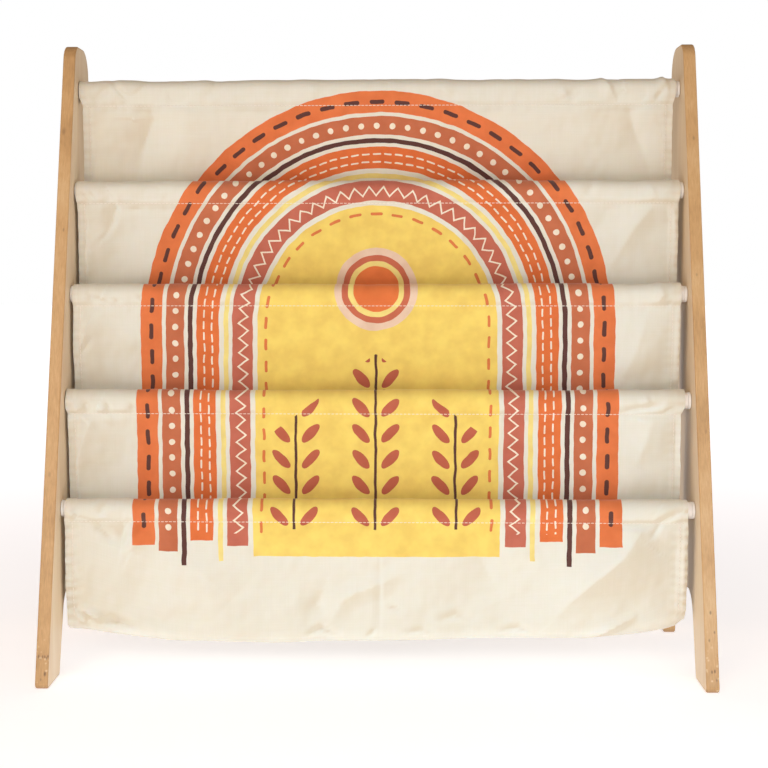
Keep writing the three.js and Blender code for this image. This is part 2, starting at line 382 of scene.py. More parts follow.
def veneer_material():
    material, tree, shader = new_material(
        "lacquered_birch_veneer", Roughness=0.5, Coat_Weight=0.15, Coat_Roughness=0.3)
    place = add_node(tree, "TexCoord").outputs["Object"]
    across, along = 1 / veneer_grain_width, 1 / veneer_grain_length
    drawn_out = add_node(tree, "Mapping", {"Vector": place, "Scale": (across, across, along)})
    grain = add_node(tree, "TexNoise", {"Vector": drawn_out, "Scale": 1.0, "Detail": 5.0, "Roughness": 0.6})
    broad = add_node(tree, "TexNoise", {"Vector": drawn_out, "Scale": 0.12, "Detail": 3.0})
    both = add_node(tree, "Mix", {0: 0.55, 2: grain, 3: broad})
    colour = add_node(
        tree, "ValToRGB", {"Fac": both}, stops=[(0.36, "#e2c6a0"), (0.52, "#ead2b0"), (0.66, "#f0dcbf")])
    dress(tree, shader, colour, grain, 0.04, 0.2 * MM)
    return material


veneer = veneer_material()
print("made", veneer.name)

# %% [markdown]
# The cut edges show the layers side on, so they are tan, with fine lines along the board
# and a few knots. Each knot is a small dark eye, longer up the board than across, and is
# placed one by one. The front feet are the most knocked about, with small dark dents and pale
# chips in the lacquer. The chips come from one cell pattern that fades out above the feet,
# and a painted shadow darkens the last few millimetres above the floor.

# %% Lacquered edge of the plywood
edge_grain_width = 1.1 * MM
edge_grain_length = 60 * MM
chip_size = 5 * MM
# A chip covers a cell up to the first share of it, and is gone at the second
chip_full, chip_gone = 0.16, 0.3
chip_strength = 0.75
# The wear is whole up to a share of its height, and fades out above that
worn_height = 60 * MM
worn_through = 0.3
# A painted shadow darkens the edge up to this height above the floor, this strongly at the floor
painted_floor_shadow_height = 5 * MM
painted_floor_shadow_strength = 0.6
# A knot's eye is dark over this share of its half width, and it is longer up than across
knot_eye = 0.3
knot_stretch = (1.0, 0.15, 0.55)
# Place of each knot, its half width, and how dark it is from 0 to 1
KNOTS = [
    ((-306, 5, 514), 2.6, 0.3), ((-302, -22, 418), 1.3, 0.35), ((-305, -89, 190), 1.8, 0.25),
    ((-307.5, -137, 29), 1.2, 0.65), ((-305.7, -137, 27.4), 1.1, 0.6), ((-303.8, -137, 28.8), 1, 0.6),
    ((-301.8, -137, 28.8), 1, 0.6), ((-300.2, -137, 27.3), 1.1, 0.6), ((-298.9, -137, 29), 1, 0.65),
    ((-301, -141, 14), 1.5, 0.75), ((-304.5, -141, 9), 1, 0.5),
    ((305, 3, 506), 1.6, 0.35), ((303, -35, 375), 1.2, 0.3), ((306, -78, 230), 1.6, 0.25),
    ((304, -125, 70), 1.3, 0.6), ((307, -130, 53), 1.0, 0.6), ((302, -132, 46), 1.1, 0.5),
    ((303.4, -140, 19), 1.1, 0.65), ((306, -140, 19.6), 1.2, 0.7), ((307.4, -141, 12), 1, 0.5),
    ((307, 120, 300), 2.0, 0.4), ((-306, 112, 380), 2.4, 0.4),
]


def edge_material():
    material, tree, shader = new_material(
        "lacquered_plywood_edge", Roughness=0.5, Coat_Weight=0.25, Coat_Roughness=0.35)
    place = add_node(tree, "TexCoord").outputs["Object"]
    across, along = 1 / edge_grain_width, 1 / edge_grain_length
    drawn_out = add_node(tree, "Mapping", {"Vector": place, "Scale": (across, 0.4 * across, along)})
    grain = add_node(tree, "TexNoise", {"Vector": drawn_out, "Scale": 1.0, "Detail": 6.0, "Roughness": 0.65})
    patches = add_node(tree, "TexNoise", {"Vector": place, "Scale": 22.0, "Detail": 3.0})
    both = add_node(tree, "Mix", {0: 0.5, 2: grain, 3: patches})
    colour = add_node(
        tree, "ValToRGB", {"Fac": both}, stops=[(0.34, "#bd9361"), (0.5, "#d1a671"), (0.66, "#deb987")])
    for (x, y, z), size, dark in KNOTS:
        offset = add_node(
            tree, "VectorMath", {0: place, 1: (x * MM, y * MM, z * MM)}, operation="SUBTRACT")
        drawn_in = add_node(tree, "VectorMath", {0: offset, 1: knot_stretch}, operation="MULTIPLY")
        reach = add_node(tree, "VectorMath", {0: drawn_in}, operation="LENGTH")
        near = add_node(tree, "MapRange", {
            "Value": reach.outputs["Value"], "From Min": knot_eye * size * MM, "From Max": size * MM,
            "To Min": dark, "To Max": 0.0})
        colour = add_node(tree, "Mix", {0: near, 6: colour, 7: srgb("#5f3d22")}, data_type="RGBA")
    chips = add_node(tree, "TexVoronoi", {"Vector": place, "Scale": 1 / chip_size, "Randomness": 1.0})
    chipped = add_node(tree, "MapRange", {
        "Value": chips.outputs["Distance"], "From Min": chip_full, "From Max": chip_gone,
        "To Min": chip_strength, "To Max": 0.0})
    upright = add_node(tree, "SeparateXYZ", {"Vector": place}).outputs["Z"]
    low_down = add_node(tree, "MapRange", {
        "Value": upright, "From Min": worn_through * worn_height, "From Max": worn_height,
        "To Min": 1.0, "To Max": 0.0})
    worn = add_node(tree, "Math", {0: chipped, 1: low_down}, operation="MULTIPLY")
    colour = add_node(tree, "Mix", {0: worn, 6: colour, 7: srgb("#ecd3a8")}, data_type="RGBA")
    # A painted shadow darkens the last few millimetres above the floor
    painted_floor_shadow = add_node(tree, "MapRange", {
        "Value": upright, "From Min": 0.0, "From Max": painted_floor_shadow_height,
        "To Min": painted_floor_shadow_strength, "To Max": 0.0})
    colour = add_node(tree, "Mix", {0: painted_floor_shadow, 6: colour, 7: srgb("#7d5c3c")}, data_type="RGBA")
    dress(tree, shader, colour, grain, 0.12, 0.3 * MM)
    return material


plywood_edge = edge_material()
print("made", plywood_edge.name, "with", len(KNOTS), "knots")

# %% [markdown]
# ## Side boards
# Each board leans back at the front and a little forward at the back, with big rounded
# corners at the top and an arch between its feet. It could be drawn as a curve and
# extruded. Here a block is cut along its two sloping edges, the arch is taken out, and each
# corner is bevelled to its own radius, in the order that a joiner would work.

# %% Outline of a board, seen from the side
outline_depth = front_run + top_depth + back_run


def trim_at_floor(run):
    """How much the foot's rounding takes off the outline at the floor."""
    half_corner = math.atan2(height, run) / 2
    return foot_corner_radius * (1 / math.tan(half_corner) - 1)


front_at_floor = -(outline_depth + trim_at_floor(front_run) - trim_at_floor(back_run)) / 2
back_at_floor = front_at_floor + outline_depth


def front_edge_at(z):
    return front_at_floor + front_run * z / height


def back_edge_at(z):
    return back_at_floor - back_run * z / height


front_foot_heel = front_at_floor + foot_depth
back_foot_heel = back_at_floor - foot_depth
arch_front = front_edge_at(arch_height) + leg_depth_at_arch
arch_back = back_edge_at(arch_height) - leg_depth_at_arch
BOARD_CORNERS = [
    (front_at_floor, 0, foot_corner_radius),
    (front_foot_heel, 0, foot_corner_radius),
    (arch_front, arch_height, arch_radius),
    (arch_back, arch_height, arch_radius),
    (back_foot_heel, 0, foot_corner_radius),
    (back_at_floor, 0, foot_corner_radius),
    (back_edge_at(height), height, top_back_radius),
    (front_edge_at(height), height, top_front_radius),
]
print("board outline in mm:", [(round(y / MM), round(z / MM)) for y, z, _ in BOARD_CORNERS])

# %% A block, cut to the outline
def bisect(piece, y, normal):
    """Cut a piece with a plane that meets the floor at y, and clear what the normal points at."""
    edit(piece, "VERT")
    bpy.ops.mesh.select_all(action="SELECT")
    bpy.ops.mesh.bisect(plane_co=(0, y, 0), plane_no=normal, use_fill=True, clear_outer=True)


def slab(name, low, high):
    """A block between two corners."""
    choose()
    bpy.ops.mesh.primitive_cube_add(size=1, location=(low + high) / 2, scale=high - low)
    return added(name)


def add_board():
    board = slab(
        "side_board_right_wood",
        Vector((inner_face, front_at_floor, 0)),
        Vector((outer_face, back_at_floor, height)),
    )
    bisect(board, front_at_floor, (0, -height, front_run))
    bisect(board, back_at_floor, (0, height, back_run))
    arch = slab(
        "arch",
        Vector((inner_face - board_thickness, arch_front - arch_height, -arch_height)),
        Vector((outer_face + board_thickness, arch_back + arch_height, arch_height)),
    )
    bisect(arch, front_foot_heel, (0, -arch_height, arch_front - front_foot_heel))
    bisect(arch, back_foot_heel, (0, arch_height, back_foot_heel - arch_back))
    cut(board, arch)
    return board


board_right = add_board()
print("block:", len(board_right.data.polygons), "faces")

# %% Round the corners and edges
def round_corner(piece, index):
    """Bevel one corner of the outline to its radius."""
    y, z, radius = BOARD_CORNERS[index]
    before = Vector(BOARD_CORNERS[index - 1][:2])
    after = Vector(BOARD_CORNERS[(index + 1) % len(BOARD_CORNERS)][:2])
    corner = Vector((y, z))
    half_angle = (before - corner).angle(after - corner) / 2
    pick_edges(piece, lambda point: math.hypot(point.y - y, point.z - z) < 0.2 * MM)
    bpy.ops.mesh.bevel(offset=radius / math.tan(half_angle), segments=14, profile=0.5, affect="EDGES")


for index in range(len(BOARD_CORNERS)):
    round_corner(board_right, index)
pick_faces(board_right, lambda middle, normal: abs(normal.x) > squarely)
bpy.ops.mesh.region_to_loop()
bpy.ops.mesh.bevel(offset=board_edge_radius, segments=4, profile=0.5, affect="EDGES")
choose()
print("rounded board:", len(board_right.data.polygons), "faces")

# %% [markdown]
# The screws go through the boards from outside. Each hole is a plain hole with a cone for
# the screw's head, as a countersink bit leaves it. One bit is modelled and used six times.

# %% Drill the screw holes
screw_hole_radius = 3.4 * MM
head_hole_radius = 6.4 * MM
head_rim = 0.8 * MM
head_cone = 3.0 * MM


def add_drill(rod):
    """A countersink bit on a rod's axis, from outside the right board."""
    cone_start = outer_face - head_rim - head_cone
    drill = added_cylinder(
        "drill", inner_face - board_thickness, cone_start, screw_hole_radius, 64, rod)
    pick_faces(drill, lambda middle, normal: normal.x > squarely)
    extrude(head_cone, head_hole_radius / screw_hole_radius)
    extrude(board_thickness)
    return drill


for rod in rods:
    cut(board_right, add_drill(rod))
print("drilled board:", len(board_right.data.polygons), "faces")

# %% Wood on the boards
board_right.data.materials.append(plywood_edge)
board_right.data.materials.append(veneer)
for face in board_right.data.polygons:
    face.material_index = 1 if abs(face.normal.x) > squarely else 0
board_left = copy_of(board_right, "side_board_left_wood", Matrix.Scale(-1, 4, (1, 0, 0)))
for board, node in ((board_right, "side_board_right"), (board_left, "side_board_left")):
    smooth(board)
    apply_modifier(board, "WEIGHTED_NORMAL", keep_sharp=True)
    finish_piece(board, [node])
print("boards done")

# %% [markdown]
# ## Rods and their end plugs
# The rods are thin steel tubes with a white powder coat: a smooth, bright white with a soft
# gloss and the faintest orange peel. The plug in each end is a moulded white plastic, a
# shade greyer. Only its flange shows, beside the board.

# %% White enamel and white plastic
def white_material(name, code, shade, roughness, grit, strength):
    """A white finish, faintly clouded, with a fine relief of the given grit."""
    material, tree, shader = new_material(name, Roughness=roughness)
    place = add_node(tree, "TexCoord").outputs["Object"]
    peel = add_node(tree, "TexNoise", {"Vector": place, "Scale": 1 / grit, "Detail": 2.0})
    cloud = add_node(tree, "TexNoise", {"Vector": place, "Scale": 20.0, "Detail": 2.0})
    colour = add_node(tree, "ValToRGB", {"Fac": cloud}, stops=[(0.3, shade), (0.7, code)])
    dress(tree, shader, colour, peel, strength, 0.2 * MM)
    return material


powder_coat = white_material("white_powder_coat_on_steel", "#ffffff", "#fbfbfa", 0.28, 0.8 * MM, 0.08)
moulded_plastic = white_material("moulded_white_polypropylene", "#ffffff", "#fafaf8", 0.42, 0.4 * MM, 0.05)
print("made", powder_coat.name, "and", moulded_plastic.name)

# %% Rods
rod_wall = 1 * MM
rim_radius = 0.25 * MM
points_round_rod = 72
rod_low, rod_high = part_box("rod_1")

rod_tube = added_cylinder(
    "rod_1_tube", rod_low.x, rod_high.x, rod_radius, points_round_rod, rods[0], "NOTHING")
apply_modifier(rod_tube, "SOLIDIFY", thickness=rod_wall, offset=-1)
pick_edges(rod_tube, lambda point: abs(abs(point.x) - rod_high.x) < near_enough)
bpy.ops.mesh.bevel(offset=rim_radius, segments=2, affect="EDGES")
smooth(rod_tube)
rod_tube.data.materials.append(powder_coat)
for name, rod in zip(ROD_NAMES, rods):
    tube = rod_tube
    if name != "rod_1":
        tube = copy_of(rod_tube, f"{name}_tube", Matrix.Translation(rod - rods[0]))
    finish_piece(tube, [name])
print("rods:", len(ROD_NAMES), "tubes of", len(rod_tube.data.polygons), "faces")

# %% End plugs
plug_low, plug_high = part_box("rod_1_plug_right")
flange_thickness = 2.5 * MM
plug_stem_radius = 6.7 * MM
plug_bore_radius = 3.3 * MM
plug_rim_radius = 0.4 * MM

flange_start = plug_high.x - flange_thickness
plug = added_cylinder(
    "rod_1_plug_right_moulding", flange_start, plug_high.x, rod_radius, points_round_rod, rods[0])
pick_faces(plug, lambda middle, normal: normal.x < -squarely)
bpy.ops.mesh.inset(thickness=rod_radius - plug_stem_radius)
extrude(plug_low.x - flange_start)
bpy.ops.mesh.inset(thickness=plug_stem_radius - plug_bore_radius)
pick_faces(plug, lambda middle, normal: normal.x > squarely)
bpy.ops.mesh.inset(thickness=rod_radius - plug_bore_radius)
pick_faces(
    plug, lambda middle, normal: abs(normal.x) > squarely and (middle - rods[0]).yz.length < 0.1 * MM)
bpy.ops.mesh.bridge_edge_loops()
pick_edges(plug, lambda point: abs((point - rods[0]).yz.length - rod_radius) < near_enough)
bpy.ops.mesh.bevel(offset=plug_rim_radius, segments=3, affect="EDGES")
smooth(plug)
plug.data.materials.append(moulded_plastic)
print("plug:", len(plug.data.polygons), "faces")

# %% [markdown]
# ## Screws
# Countersunk screws with a hexagon socket, in zinc-plated steel, sit just below the boards'
# outer faces. They don't show in the photograph and follow the usual kind. The metal is
# turned, so fine rings run round the head. The rings are drawn wider than real ones, which
# would be too fine to show.

# %% Zinc-plated steel
ring_spacing = 0.5 * MM


def screw_material():
    material, tree, shader = new_material("zinc_plated_steel", Metallic=1.0, Roughness=0.33)
    place = add_node(tree, "TexCoord").outputs["Object"]
    marks = add_node(tree, "TexNoise", {"Vector": place, "Scale": 1 / ring_spacing, "Detail": 3.0})
    colour = add_node(tree, "ValToRGB", {"Fac": marks}, stops=[(0.35, "#a9abad"), (0.65, "#c9cbcd")])
    dress(tree, shader, colour, marks, 0.1, 0.1 * MM)
    return material


zinc = screw_material()
print("made", zinc.name)

# %% Screws
screw_low, screw_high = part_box("rod_1_screw_right")
screw_radius = 3 * MM
screw_head_radius = 6 * MM
screw_head_rim = 0.6 * MM
screw_cone = screw_head_radius - screw_radius
socket_across_flats = 4 * MM
socket_depth = 2.4 * MM

rim_start = screw_high.x - screw_head_rim
screw = added_cylinder(
    "rod_1_screw_right_turned", rim_start, screw_high.x, screw_head_radius, 60, rods[0])
pick_faces(screw, lambda middle, normal: normal.x < -squarely)
extrude(-screw_cone, screw_radius / screw_head_radius)
extrude(screw_low.x - (rim_start - screw_cone))
socket = added_cylinder(
    "socket", screw_high.x - socket_depth, screw_high.x + socket_depth,
    socket_across_flats / math.sqrt(3), 6, rods[0])
cut(screw, socket)
pick_edges(screw, lambda point: abs(point.x - screw_high.x) < near_enough)
bpy.ops.mesh.bevel(offset=rim_radius, segments=2, affect="EDGES")
smooth(screw)
screw.data.materials.append(zinc)
print("screw:", len(screw.data.polygons), "faces")

# %% A plug and a screw for each rod end
mirror = Matrix.Scale(-1, 4, (1, 0, 0))
for name, rod in zip(ROD_NAMES, rods):
    step = Matrix.Translation(rod - rods[0])
    for side, move in (("right", step), ("left", mirror @ step)):
        if name == "rod_1" and side == "right":
            plug_here, screw_here = plug, screw
        else:
            plug_here = copy_of(plug, f"{name}_plug_{side}_moulding", move)
            screw_here = copy_of(screw, f"{name}_screw_{side}_turned", move)
        finish_piece(plug_here, [f"{name}_plug_{side}"])
        finish_piece(screw_here, [f"{name}_screw_{side}"])
print("plugs and screws:", 4 * len(ROD_NAMES))

# %% [markdown]
# ## The sling
# A cream cotton canvas goes over each rod, is sewn to itself just below it, and hangs in a
# pocket down to a round fold, and up again to the next rod. It could be draped by a cloth
# simulation, but an empty pocket hangs almost flat, and what shows is where it creases.
# So each tier is one sheet of points along the cloth's path, and the listed creases are pressed
# into it. The sheets meet inside the seams, where the real cloth is hidden.

# %% Path of the cloth, seen from the side
cloth = 0.9 * MM
hem_width = 9 * MM
# The middle of the cloth goes round a rod with a little play, and the seam holds two layers
sleeve_radius = rod_radius + 0.6 * MM
seam_half = 0.62 * MM
seam_forward = 6 * MM
hang_length = 97 * MM
tail_length = 8 * MM
# Behind a rod the cloth bows out a little. In front it turns in late, by this power of the way
rear_bow = 0.5 * MM
turn_in_power = 2.5
# How far a pocket's fold hangs below its front rod, how it rises to the ends, and its waves
pocket_drop = 127 * MM
corner_rise = 15 * MM
fold_wave = 1.5 * MM
fold_wave_length = 120 * MM
TIERS = 4
# Below each rod in turn, in millimetres: how far under the rod's middle its sleeve is sewn
SEAM_DROPS = [15.6, 12.4, 11.2, 12.6, 11.4]
# Left and right end of each sleeve, and of the wall that hangs from it, in millimetres
SLEEVE_ENDS = [(-297.2, 292.8), (-296.1, 293.9), (-295.1, 291.4), (-297.2, 291.4), (-293.0, 290.4)]
WALL_ENDS = [(-294.0, 290.6), (-295.0, 292.6), (-294.8, 290.6), (-295.3, 288.0), (-294.1, 291.0)]
# Height of the cloth's underside in the lowest pocket, at places across it, in millimetres
LOWEST_FOLD = [
    (-296, 37.5), (-285, 36.5), (-244, 30.5), (-185, 25), (-107, 23), (7, 26), (119, 27.8), (200, 30.5),
    (240, 34), (279, 42), (286, 45), (293, 54),
]


def eased(share):
    """A share from 0 to 1 that starts and stops gently."""
    share = min(max(share, 0), 1)
    return share * share * (3 - 2 * share)


def mixed(first, second, share):
    return first + (second - first) * share


def between(table, x):
    """A value between the two nearest places of a table."""
    for (x_1, value_1), (x_2, value_2) in zip(table, table[1:]):
        if x <= x_2:
            return mixed(value_1, value_2, (x - x_1) / (x_2 - x_1))
    return table[-1][1]


def rear_angle(at):
    """Angle, round a rod's middle, where the cloth that rises behind it starts to wrap it."""
    y, z = seam_half - seam_forward, -SEAM_DROPS[at] * MM
    return math.atan2(z, y) + math.acos(sleeve_radius / math.hypot(y, z))


def fold_bottom(tier, x):
    """Height of the middle of the cloth at the bottom of a pocket."""
    if tier == TIERS:
        # A mean over places close by rounds the corners of the table's line
        close_by = [between(LOWEST_FOLD, x / MM + shift) for shift in (-8, -4, 0, 4, 8)]
        return sum(close_by) / len(close_by) * MM + cloth / 2
    rise = corner_rise * abs(x / SLEEVE_ENDS[tier][1] / MM) ** 3
    wave = fold_wave * noise.noise((x / fold_wave_length, tier * 5.3, 0))
    return rods[tier].z - pocket_drop + rise + wave


print("sleeves wrap", [round(180 - math.degrees(rear_angle(at))) for at in range(TIERS + 1)], "degrees")

# %% Rows of each sheet
# Steps along each stretch of the cloth. A back wall shows down to a share of its height
STEPS = {"tail": 4, "rear": 5, "over": 21, "drop": 10, "fold": 16,
         "shown back": 38, "hidden back": 17, "shown front": 40, "hidden front": 14}
shown_share = 0.42


def stretch(kind, at, first=0, last=None):
    """Rows of one stretch, with share from 0 to 1, as (kind, rod, share)."""
    count = STEPS[kind]
    return [(kind, at, index / count) for index in range(first, count if last is None else last)]


def sleeve_rows(at):
    """Rows round a rod: up its rear, over it and down in front."""
    over_end = STEPS["over"] + 1
    return stretch("rear", at) + stretch("over", at, last=over_end) + stretch("drop", at, first=1)


def tier_rows(tier):
    """The rows of one tier's sheet, with more of them where the cloth shows."""
    rows = stretch("tail", 0, 1, STEPS["tail"] + 1)[::-1] if tier == 1 else []
    rows += sleeve_rows(tier - 1)
    shown, hidden = STEPS["shown back"], STEPS["hidden back"]
    rows += [("back", tier - 1, shown_share * index / shown) for index in range(shown)]
    rows += [("back", tier - 1, shown_share + (1 - shown_share) * index / hidden) for index in range(hidden)]
    rows += stretch("fold", tier - 1)
    steps = STEPS["hidden front" if tier < TIERS else "shown front"]
    rows += [("front", tier, index / steps) for index in range(steps + 1)]
    if tier == TIERS:
        rows += sleeve_rows(tier)[::-1] + stretch("tail", tier, 1, STEPS["tail"] + 1)
    return rows


def on_path(tier, row, x):
    """(y, z) of the middle of the cloth on one row, at a place across the shelf."""
    kind, at, share = row
    rod, seam_drop = rods[at], SEAM_DROPS[at] * MM
    if kind == "tail":
        back = seam_forward * (1 - tail_length * share / hang_length)
        return rod.y + seam_half - back, rod.z - seam_drop - tail_length * share
    if kind == "over":
        angle = mixed(rear_angle(at), math.pi, share)
        return rod.y + sleeve_radius * math.cos(angle), rod.z + sleeve_radius * math.sin(angle)
    if kind == "rear":
        angle = rear_angle(at)
        top_y, top_z = sleeve_radius * math.cos(angle), sleeve_radius * math.sin(angle)
        bow = rear_bow * math.sin(math.pi * share)
        out, up = mixed(seam_half - seam_forward, top_y, share), mixed(-seam_drop, top_z, share)
        return rod.y + out + bow, rod.z + up
    if kind == "drop":
        # In front it hangs straight down from the rod, and turns in just above the seam
        out = mixed(sleeve_radius, seam_half + seam_forward, share ** turn_in_power)
        return rod.y - out, rod.z - seam_drop * share
    rear_y = rods[tier - 1].y - seam_half
    front_y = rods[tier].y + (seam_half if tier < TIERS else -seam_half)
    bottom = fold_bottom(tier, x)
    above_seam = bottom + (rear_y - front_y) / 2 - rods[tier].z + SEAM_DROPS[tier] * MM
    shift = seam_forward * min(max(1 + above_seam / hang_length, 0), 1)
    radius = (rear_y - front_y + shift) / 2
    fold_top = bottom + radius
    if kind == "back":
        return rear_y - seam_forward * (1 - share), mixed(rod.z - seam_drop, fold_top, share)
    if kind == "front":
        return front_y - mixed(shift, seam_forward, share), mixed(fold_top, rod.z - seam_drop, share)
    angle = math.pi * share
    return rear_y - radius + radius * math.cos(angle), fold_top - radius * math.sin(angle)


def ends_of(tier, row):
    """Left and right end of the cloth on one row, in metres. It flares round the rods."""
    kind, at, share = row
    sleeve, wall = SLEEVE_ENDS[at], WALL_ENDS[at]
    flare = {"over": 1.0, "rear": eased(1.6 * share), "drop": eased(1.5 - 1.5 * share)}.get(kind, 0.0)
    if kind == "fold":
        sleeve, flare = WALL_ENDS[tier], share
    return [mixed(wall[side], sleeve[side], flare) * MM for side in (0, 1)]


print("rows:", [len(tier_rows(tier)) for tier in range(1, TIERS + 1)])

# %% [markdown]
# ### Creases
# Canvas that is pulled round a rod by hand creases in short diagonals near the ends of the
# sleeve, and a sewn hem puckers. Each crease here is a ridge or valley along a short line,
# sharp at its crest, given in millimetres as the eye sees it from the front. Broad, shallow
# waves and small puckers come from noise, which gives the same result every time.

# %% Listed creases
# For each panel, (line of (x, z) points, its width on the left and on the right, height). Lines
# run downwards, and a negative height is a valley.
CREASES = {
    1: [
        ([(-265, 564), (-253, 552), (-235, 541)], (4, 5), -2.4),
        ([(-221, 561), (-229, 550), (-234, 541)], (14, 12), -3.2),
        ([(-266, 561), (-278, 547)], (8, 10), -1.8), ([(-187, 559), (-207, 545)], (16, 12), -2.4),
        ([(-155, 567), (-163, 557)], (12, 8), -2), ([(-281, 547), (-277, 543)], (3, 3), -1.2),
        ([(-262, 542), (-258, 538)], (3, 3), -1),
        ([(-228, 541), (-225, 527), (-232, 510), (-236, 495), (-240, 474)], (40, 34), -8),
        ([(218, 569), (227, 558), (232, 547)], (10, 4), 2.4), ([(180, 558), (185, 549)], (10, 5), 1.6),
        ([(199, 558), (194, 548)], (9, 6), -1.8), ([(281, 555), (273, 545)], (5, 4), -2.2),
        ([(263, 553), (258, 546)], (5, 5), -1.4), ([(278, 570), (284, 559)], (9, 4), 2.2),
        ([(247, 539), (253, 518), (261, 498), (269, 474)], (42, 22), -6.5),
        ([(-78, 564), (-58, 552)], (16, 8), 1.2), ([(54, 564), (72, 550)], (8, 14), 1.2),
    ],
    2: [
        ([(-289, 454), (-280, 444)], (4, 4), -1.8), ([(-282, 456), (-275, 445)], (4, 3), -1.2),
        ([(-263, 453), (-258, 440), (-261, 426), (-269, 412)], (14, 5), -3.6),
        ([(-265, 420), (-286, 404)], (14, 22), 2.4), ([(-286, 410), (-286, 372)], (8, 44), 3.2),
        ([(-243, 440), (-231, 439)], (5, 3), -1), ([(286, 442), (290, 430), (290, 377)], (7, 7), 1.8),
        ([(273, 448), (250, 420), (228, 383)], (32, 44), 5), ([(209, 462), (203, 450)], (10, 6), -1.4),
        ([(263, 462), (270, 448)], (9, 5), 1.6), ([(-214, 460), (-224, 448)], (12, 8), -1.6),
        ([(-160, 462), (-151, 450)], (10, 6), 1.2), ([(-47, 433), (-27, 387)], (40, 40), 3),
        ([(91, 436), (71, 387)], (40, 30), 3),
    ],
    3: [
        ([(-272, 352), (-259, 346)], (4, 4), -2.4), ([(-279, 356), (-272, 342)], (4, 6), -1.4),
        ([(-254, 351), (-247, 345)], (4, 3), -1.4), ([(-232, 354), (-226, 348)], (3, 3), -1.3),
        ([(-228, 355), (-222, 348)], (3, 3), -1.3),
        ([(-272, 343), (-283, 321), (-288, 300)], (10, 36), 4.4),
        ([(-279, 313), (-287, 300)], (4, 6), -1.4), ([(282, 349), (276, 342)], (4, 4), -1.8),
        ([(269, 364), (273, 355), (267, 346)], (14, 6), 2),
        ([(260, 339), (249, 302), (237, 277)], (32, 42), 5), ([(289, 342), (289, 273)], (6, 7), 1.6),
        ([(216, 360), (208, 348)], (12, 6), -1.4), ([(-191, 360), (-184, 350)], (8, 5), 1.2),
    ],
    4: [
        ([(-290, 253), (-284, 244), (-275, 233)], (5, 8), 2.6),
        ([(-266, 252), (-261, 245), (-254, 236)], (5, 8), 2.4),
        ([(-278, 254), (-273, 245)], (6, 4), -1.8), ([(-259, 254), (-254, 245)], (4, 4), -1.8),
        ([(-235, 252), (-228, 244)], (6, 4), -1.6),
        ([(-271, 240), (-281, 220), (-287, 198), (-286, 170)], (9, 42), 5),
        ([(230, 245), (255, 249), (268, 251)], (3, 6), -2.8), ([(271, 245), (283, 248)], (3, 4), -2.2),
        ([(262, 243), (255, 219), (246, 194)], (32, 36), 5), ([(289, 244), (289, 174)], (6, 8), 1.8),
        ([(252, 260), (258, 251)], (8, 4), 1.6), ([(-169, 255), (-179, 246)], (10, 6), -1.3),
    ],
    5: [
        ([(-285, 152), (-282, 147), (-264, 142), (-260, 138)], (4, 4), -2.8),
        ([(-294, 158), (-282, 146)], (6, 6), 2), ([(-266, 139), (-258, 133), (-249, 124)], (6, 8), -3.2),
        ([(-254, 160), (-262, 150)], (8, 6), -1.6),
        ([(-221, 139), (-227, 130), (-232, 117)], (13, 26), 6.5),
        ([(-239, 138), (-242, 118)], (22, 5), -4.5),
        ([(-226, 154), (-214, 144)], (8, 5), 1.4), ([(-293, 125), (-284, 123)], (4, 4), -1.4),
        ([(-293, 99), (-283, 95)], (4, 4), -1.4), ([(-293, 80), (-282, 77)], (4, 4), -1.4),
        ([(-293, 63), (-282, 61)], (4, 4), -1.4), ([(-284, 54), (-276, 46)], (4, 5), 3.6),
        ([(-280, 59), (-259, 48)], (4, 6), 4.4), ([(-258, 48), (-246, 43), (-223, 36)], (6, 12), -6),
        ([(-281, 56), (-269, 47)], (3, 3), -1.6), ([(282, 153), (266, 145), (259, 133)], (7, 4), -3.2),
        ([(250, 141), (243, 133), (231, 115), (216, 101), (201, 89), (184, 72), (171, 57)], (40, 46), 12),
        ([(288, 139), (288, 62)], (8, 6), 2), ([(240, 53), (223, 45), (208, 38), (192, 33)], (8, 6), 4),
        ([(117, 37), (134, 40), (150, 34)], (4, 8), -3), ([(61, 50), (74, 54), (88, 50)], (5, 8), -2),
        ([(29, 37), (41, 39), (53, 35)], (3, 6), -2), ([(-2, 40), (-8, 32)], (4, 4), -2),
        ([(-65, 34), (-53, 40), (-38, 34)], (4, 7), -3), ([(11, 63), (23, 59)], (4, 3), -1.4),
        ([(-40, 54), (-33, 69), (-18, 78), (-4, 83), (7, 87), (18, 93)], (16, 14), 3.4),
        ([(-51, 78), (-57, 63), (-51, 52)], (20, 10), -2.6), ([(1, 114), (1, 35)], (3, 3), -1.2),
        ([(-195, 121), (-138, 69)], (50, 50), 4), ([(88, 125), (117, 69)], (50, 40), -4),
    ],
}


# A crest is rounded a little, its sides curve by this power, and its ends keep this share
crest_radius = 0.7
crest_power = 1.6
end_share = 0.3


def crease_height(panel, x, z):
    """The sum of a panel's creases at one place, all in millimetres."""
    total = 0.0
    for line, widths, tall in CREASES[panel]:
        margin = max(widths)
        if not min(point[0] for point in line) - margin < x < max(point[0] for point in line) + margin:
            continue
        nearest, along, side = 1e9, 0.0, 0
        for index, ((x_1, z_1), (x_2, z_2)) in enumerate(zip(line, line[1:])):
            run_x, run_z = x_2 - x_1, z_2 - z_1
            share = ((x - x_1) * run_x + (z - z_1) * run_z) / (run_x ** 2 + run_z ** 2)
            clipped = min(max(share, 0), 1)
            reach = math.hypot(x - x_1 - run_x * clipped, z - z_1 - run_z * clipped)
            if reach < nearest:
                nearest, along = reach, (index + clipped) / (len(line) - 1)
                side = 1 if run_x * (z - z_1) - run_z * (x - x_1) > 0 else 0
        # Sharp on the line itself, and level again one width away
        soft = math.hypot(nearest, crest_radius) - crest_radius
        across = max(0, 1 - soft / widths[side])
        taper = mixed(end_share, 1, math.sin(math.pi * along))
        total += tall * taper * across ** crest_power
    return total


print("creases by hand:", sum(len(creases) for creases in CREASES.values()))

# %% Relief of the cloth
ON_SLEEVE = ("rear", "over", "drop")
